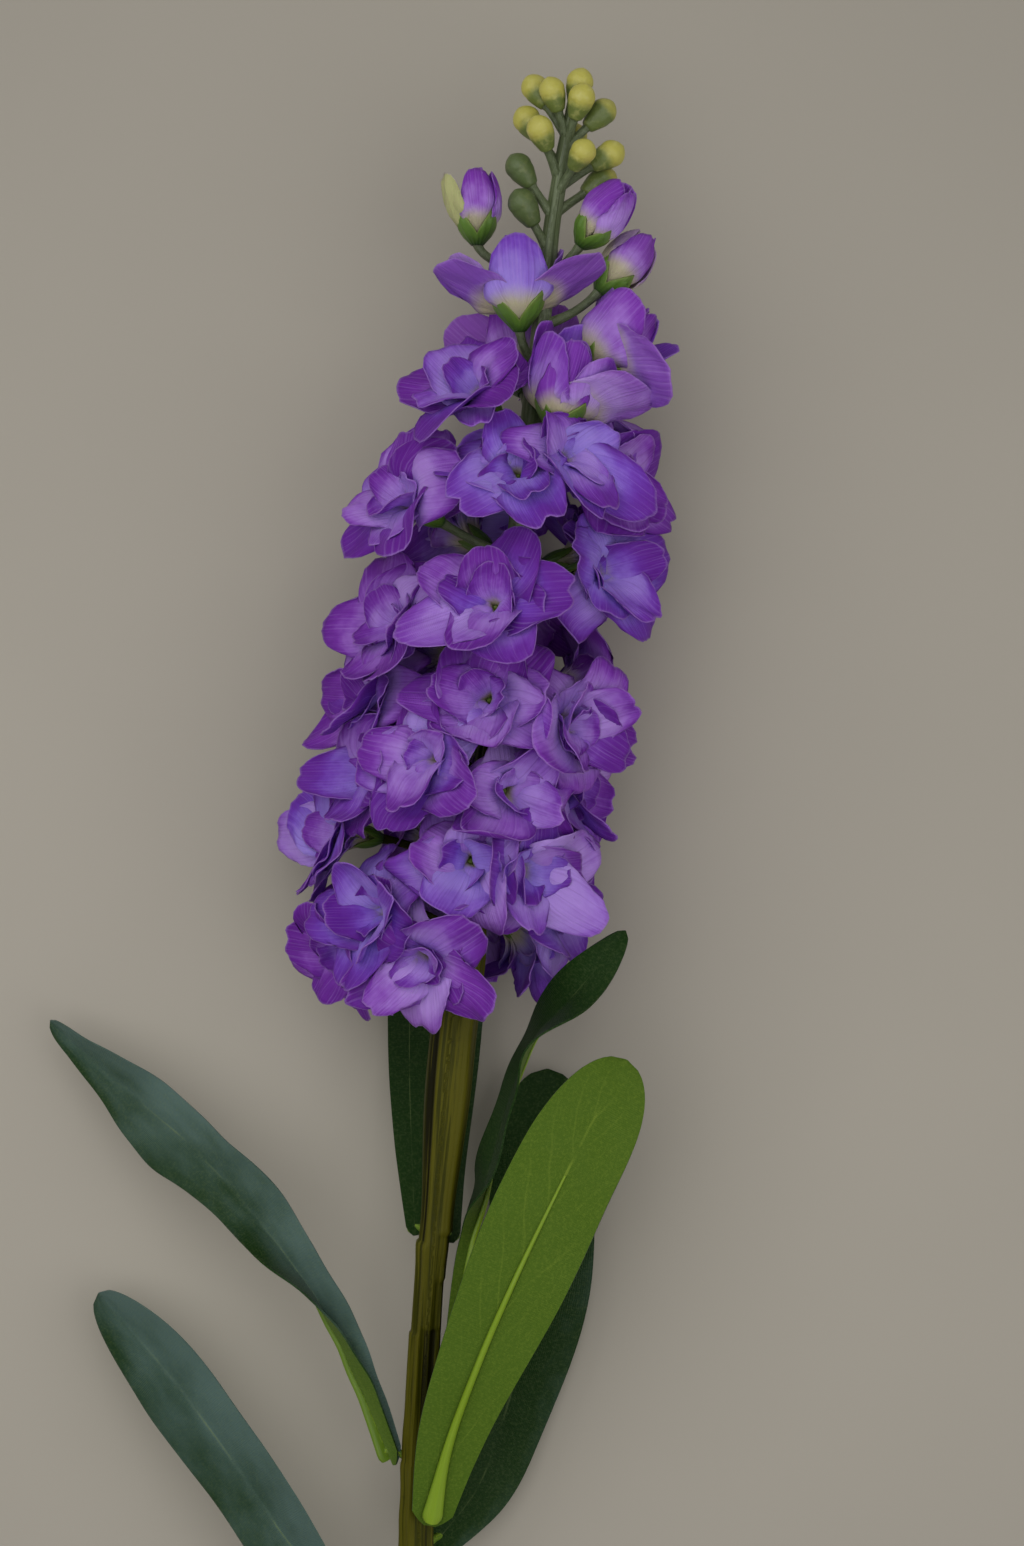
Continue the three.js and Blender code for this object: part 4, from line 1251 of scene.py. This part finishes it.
class STOCK_OT_leaves(bpy.types.Operator):
    """Cut the fabric leaves and clip them on by their ribs"""

    bl_idname = "stock.leaves"
    bl_label = "Leaves"

    def execute(self, context):
        settings = context.scene.stock_green
        upper = leaf_finish("leaf_fabric", settings.leaf, settings.leaf_painted_sheen, settings.leaf_vein, 0.25, 0.4)
        under = leaf_finish("leaf_fabric_under", settings.under, settings.under_painted_sheen, settings.rib_pale, 0.8, 0.58)
        plastic = rib_finish(settings)
        for name in LEAVES:
            surface = leaf_surface(name)
            piece, cut = leaf_blade(name, surface)
            piece.data.materials.append(upper)
            piece.data.materials.append(under)
            modify(piece, "SOLIDIFY", thickness=CLOTH, offset=0, material_offset=1, material_offset_rim=0)
            finished(piece, upper, "leaf", f"leaf_{name}")
            finished(leaf_rib(name, surface), plastic, "rib", f"rib_{name}")
        return {"FINISHED"}


def flat_cut(surface, across, along):
    """Rows of points on a leaf's cloth as it was cut, before it was folded and waved."""
    u, v = np.meshgrid(np.linspace(-1, 1, across), np.linspace(0, 1, along))
    out = surface(u.ravel(), v.ravel())[3].reshape(along, across)
    middle = surface(np.zeros(along), v[:, 0])[4]
    run = np.concatenate([[0], np.cumsum(np.linalg.norm(np.diff(middle, axis=0), axis=1))])
    return np.stack([out, np.repeat(run[:, None], across, axis=1), np.zeros_like(out)], axis=2)


def cut_size(rows):
    """Width, length and area in metres of flat cloth, from rows of points on it."""
    across = np.linalg.norm(np.diff(rows, axis=1), axis=2).sum(axis=1)
    along = np.linalg.norm(np.diff(rows, axis=0), axis=2)[:, rows.shape[1] // 2]
    crossed = np.cross(rows[1:, 1:] - rows[:-1, :-1], rows[1:, :-1] - rows[:-1, 1:])
    area = np.linalg.norm(crossed, axis=2).sum() / 2
    return float(across.max()), float(along.sum()), float(area)


def rib_size(v):
    """Half width and half depth of a rib: broad at its clip, then slender, and thin at its tip."""
    v = np.asarray(v, float)
    wide = (1.3 - 0.95 * v + 1.5 * np.exp(-((v / 0.13) ** 1.3))) * smooth(v, -0.03, 0.02)
    return wide, 0.25 + 0.75 * (1 - v) + 0.25 * np.exp(-v / 0.1)


def leaf_surface(name):
    """The middle surface of a leaf, as a function of u from -1 to 1 and v from 0 to 1."""
    at, turn, roll, width, fold, side_shift, route, wave, waves, _ = LEAVES[name]
    narrow = NARROWED.get(name, 0.0)
    point, _, out = outward(at * STEM_LENGTH, turn)
    foot = point + out * (STEM_RADIUS + 0.6 + 2 * RIB_HALF_DEPTH + LEAF_THICKNESS)
    over = side_shift * width * LEAF_WIDTH / 2
    stations = [foot]
    for across, along, up, _ in route:
        centre = axis_at(foot[1] + along)[0][0]
        stations.append(centre + (across + over, 0, up))
    rolls = [roll, *(r[3] for r in route)]

    def surface(u, v):
        point = centripetal(stations, v)
        ahead, behind = (centripetal(stations, np.clip(v + step, 0, 1)) for step in (1e-3, -1e-3))
        run = unit(ahead - behind)
        level = unit(np.cross(run, UP))
        angle = np.radians(eased(rolls, v))[:, None]
        side = level * np.cos(angle) - np.cross(run, level) * np.sin(angle)
        normal = np.cross(side, run)
        grown = 0.36 + 0.64 * np.sin(math.pi / 2 * np.minimum(1, v / 0.64))
        past = np.maximum(0, (v - 0.74) / 0.26)
        half = LEAF_WIDTH / 2 * width * grown * np.sqrt(np.maximum(1 - past**2.4, 0.0004))
        half = half * np.sqrt(np.clip(0.1 + v / 0.03, 0, 1)) * (1 - narrow * smooth(v, 0.66, 1.0))
        edge = np.sin(math.tau * waves * 0.8 * v + 2.1 * np.sign(u) + width * 5)
        half = half * (1 + 0.06 * wave * edge * smooth(v, 0.1, 0.3))
        bent = np.full(len(v), math.radians(fold))
        if name == "right_twisted":
            half = half * (1 - 0.5 * np.exp(-(((v - 0.54) / 0.12) ** 2)))
            half = half * np.where(u > 0, 1 - 0.6 * smooth(v, 0.45, 0.3), 1)
            # One half is folded down beside its rib at the foot.
            bent = np.radians(fold + 58 * smooth(v, 0.42, 0.3) * (u < 0))
        if name == "left_high":
            bent = np.radians(fold - 26 * smooth(v, 0.35, 0.6) + 42 * smooth(v, 0.45, 0.22) * (u < 0))
        out = u * half
        crease = np.sqrt(np.abs(u) ** 2 + 0.004) - math.sqrt(0.004)
        lift = crease * half * np.sin(bent)
        ripple = wave * np.abs(u) ** 1.5 * np.sin(math.tau * waves * v + 1.3 * np.sign(u) + width * 9)
        ripple = ripple + 0.25 * wave * np.sin(math.tau * 2.7 * waves * v + 2 * u)
        ripple = ripple * smooth(v, 0.05, 0.25) * (half / (LEAF_WIDTH / 2 * width))
        middle = point.copy()
        point = point + side * (out * np.cos(bent))[:, None] + normal * (lift + ripple)[:, None]
        point[:, 2] = np.maximum(point[:, 2], 0.5)
        return point, normal, side, out, middle

    return surface


class STOCK_OT_florets(bpy.types.Operator):
    """Press the petals of every floret and set them in their calyces"""

    bl_idname = "stock.florets"
    bl_label = "Florets"

    def execute(self, context):
        settings = context.scene.stock_petal
        fabric = petal_finish(settings)
        plastic = calyx_finish(context.scene.stock_green)
        for floret in PLACED:
            dice = np.random.default_rng(settings.seed * 1000 + floret.number)
            if floret.kind == "open":
                rows = open_petals(settings, dice)
            else:
                rows = (cup_petals if floret.kind == "cup" else closed_petals)(floret, settings, dice)
            name = f"petals_{floret.number:02d}"
            seed = settings.seed * 1000 + 500 + floret.number
            piece, (flat, area) = petals(floret, rows, name, settings, seed, floret.kind == "open")
            finished(piece, fabric, "petals", f"floret_{floret.number:02d}", angle=180)
            cup = finished(calyx(floret, settings), plastic, "sprig", angle=180)
            min(area, flat[0] * flat[1])
        for row in [o for o in bpy.data.objects if o.name.startswith("petal_row")]:
            bpy.data.objects.remove(row)
        return {"FINISHED"}


class STOCK_PT_panel(bpy.types.Panel):
    """The pieces of the stock stem, in the order that they are made"""

    bl_idname = "STOCK_PT_panel"
    bl_label = "Stock Flower Stem"
    bl_space_type = "VIEW_3D"
    bl_region_type = "UI"
    bl_category = "Stock"

    def draw(self, context):
        for operator in OPERATORS:
            self.layout.operator(operator.bl_idname)
        for group in ("stock_petal", "stock_green", "stock_stage"):
            settings = getattr(context.scene, group)
            box = self.layout.box()
            for key in settings.__annotations__:
                box.prop(settings, key)


OPERATORS = (STOCK_OT_stage, STOCK_OT_stem, STOCK_OT_sprig, STOCK_OT_buds, STOCK_OT_leaves, STOCK_OT_florets)
GROUPS = {"stock_petal": StockPetalSettings, "stock_green": StockGreenSettings, "stock_stage": StockStageSettings}


def register():
    for cls in (*GROUPS.values(), *OPERATORS, STOCK_PT_panel):
        bpy.utils.register_class(cls)
    for name, cls in GROUPS.items():
        setattr(bpy.types.Scene, name, PointerProperty(type=cls))


def unregister():
    for name in GROUPS:
        delattr(bpy.types.Scene, name)
    for cls in (STOCK_PT_panel, *reversed(OPERATORS), *GROUPS.values()):
        bpy.utils.unregister_class(cls)


def main():
    register()
    for operator in OPERATORS:
        family, name = operator.bl_idname.split(".")
        if getattr(getattr(bpy.ops, family), name)() != {"FINISHED"}:
            raise RuntimeError(f"{operator.bl_label} was not finished")


if __name__ == "__main__":
    main()
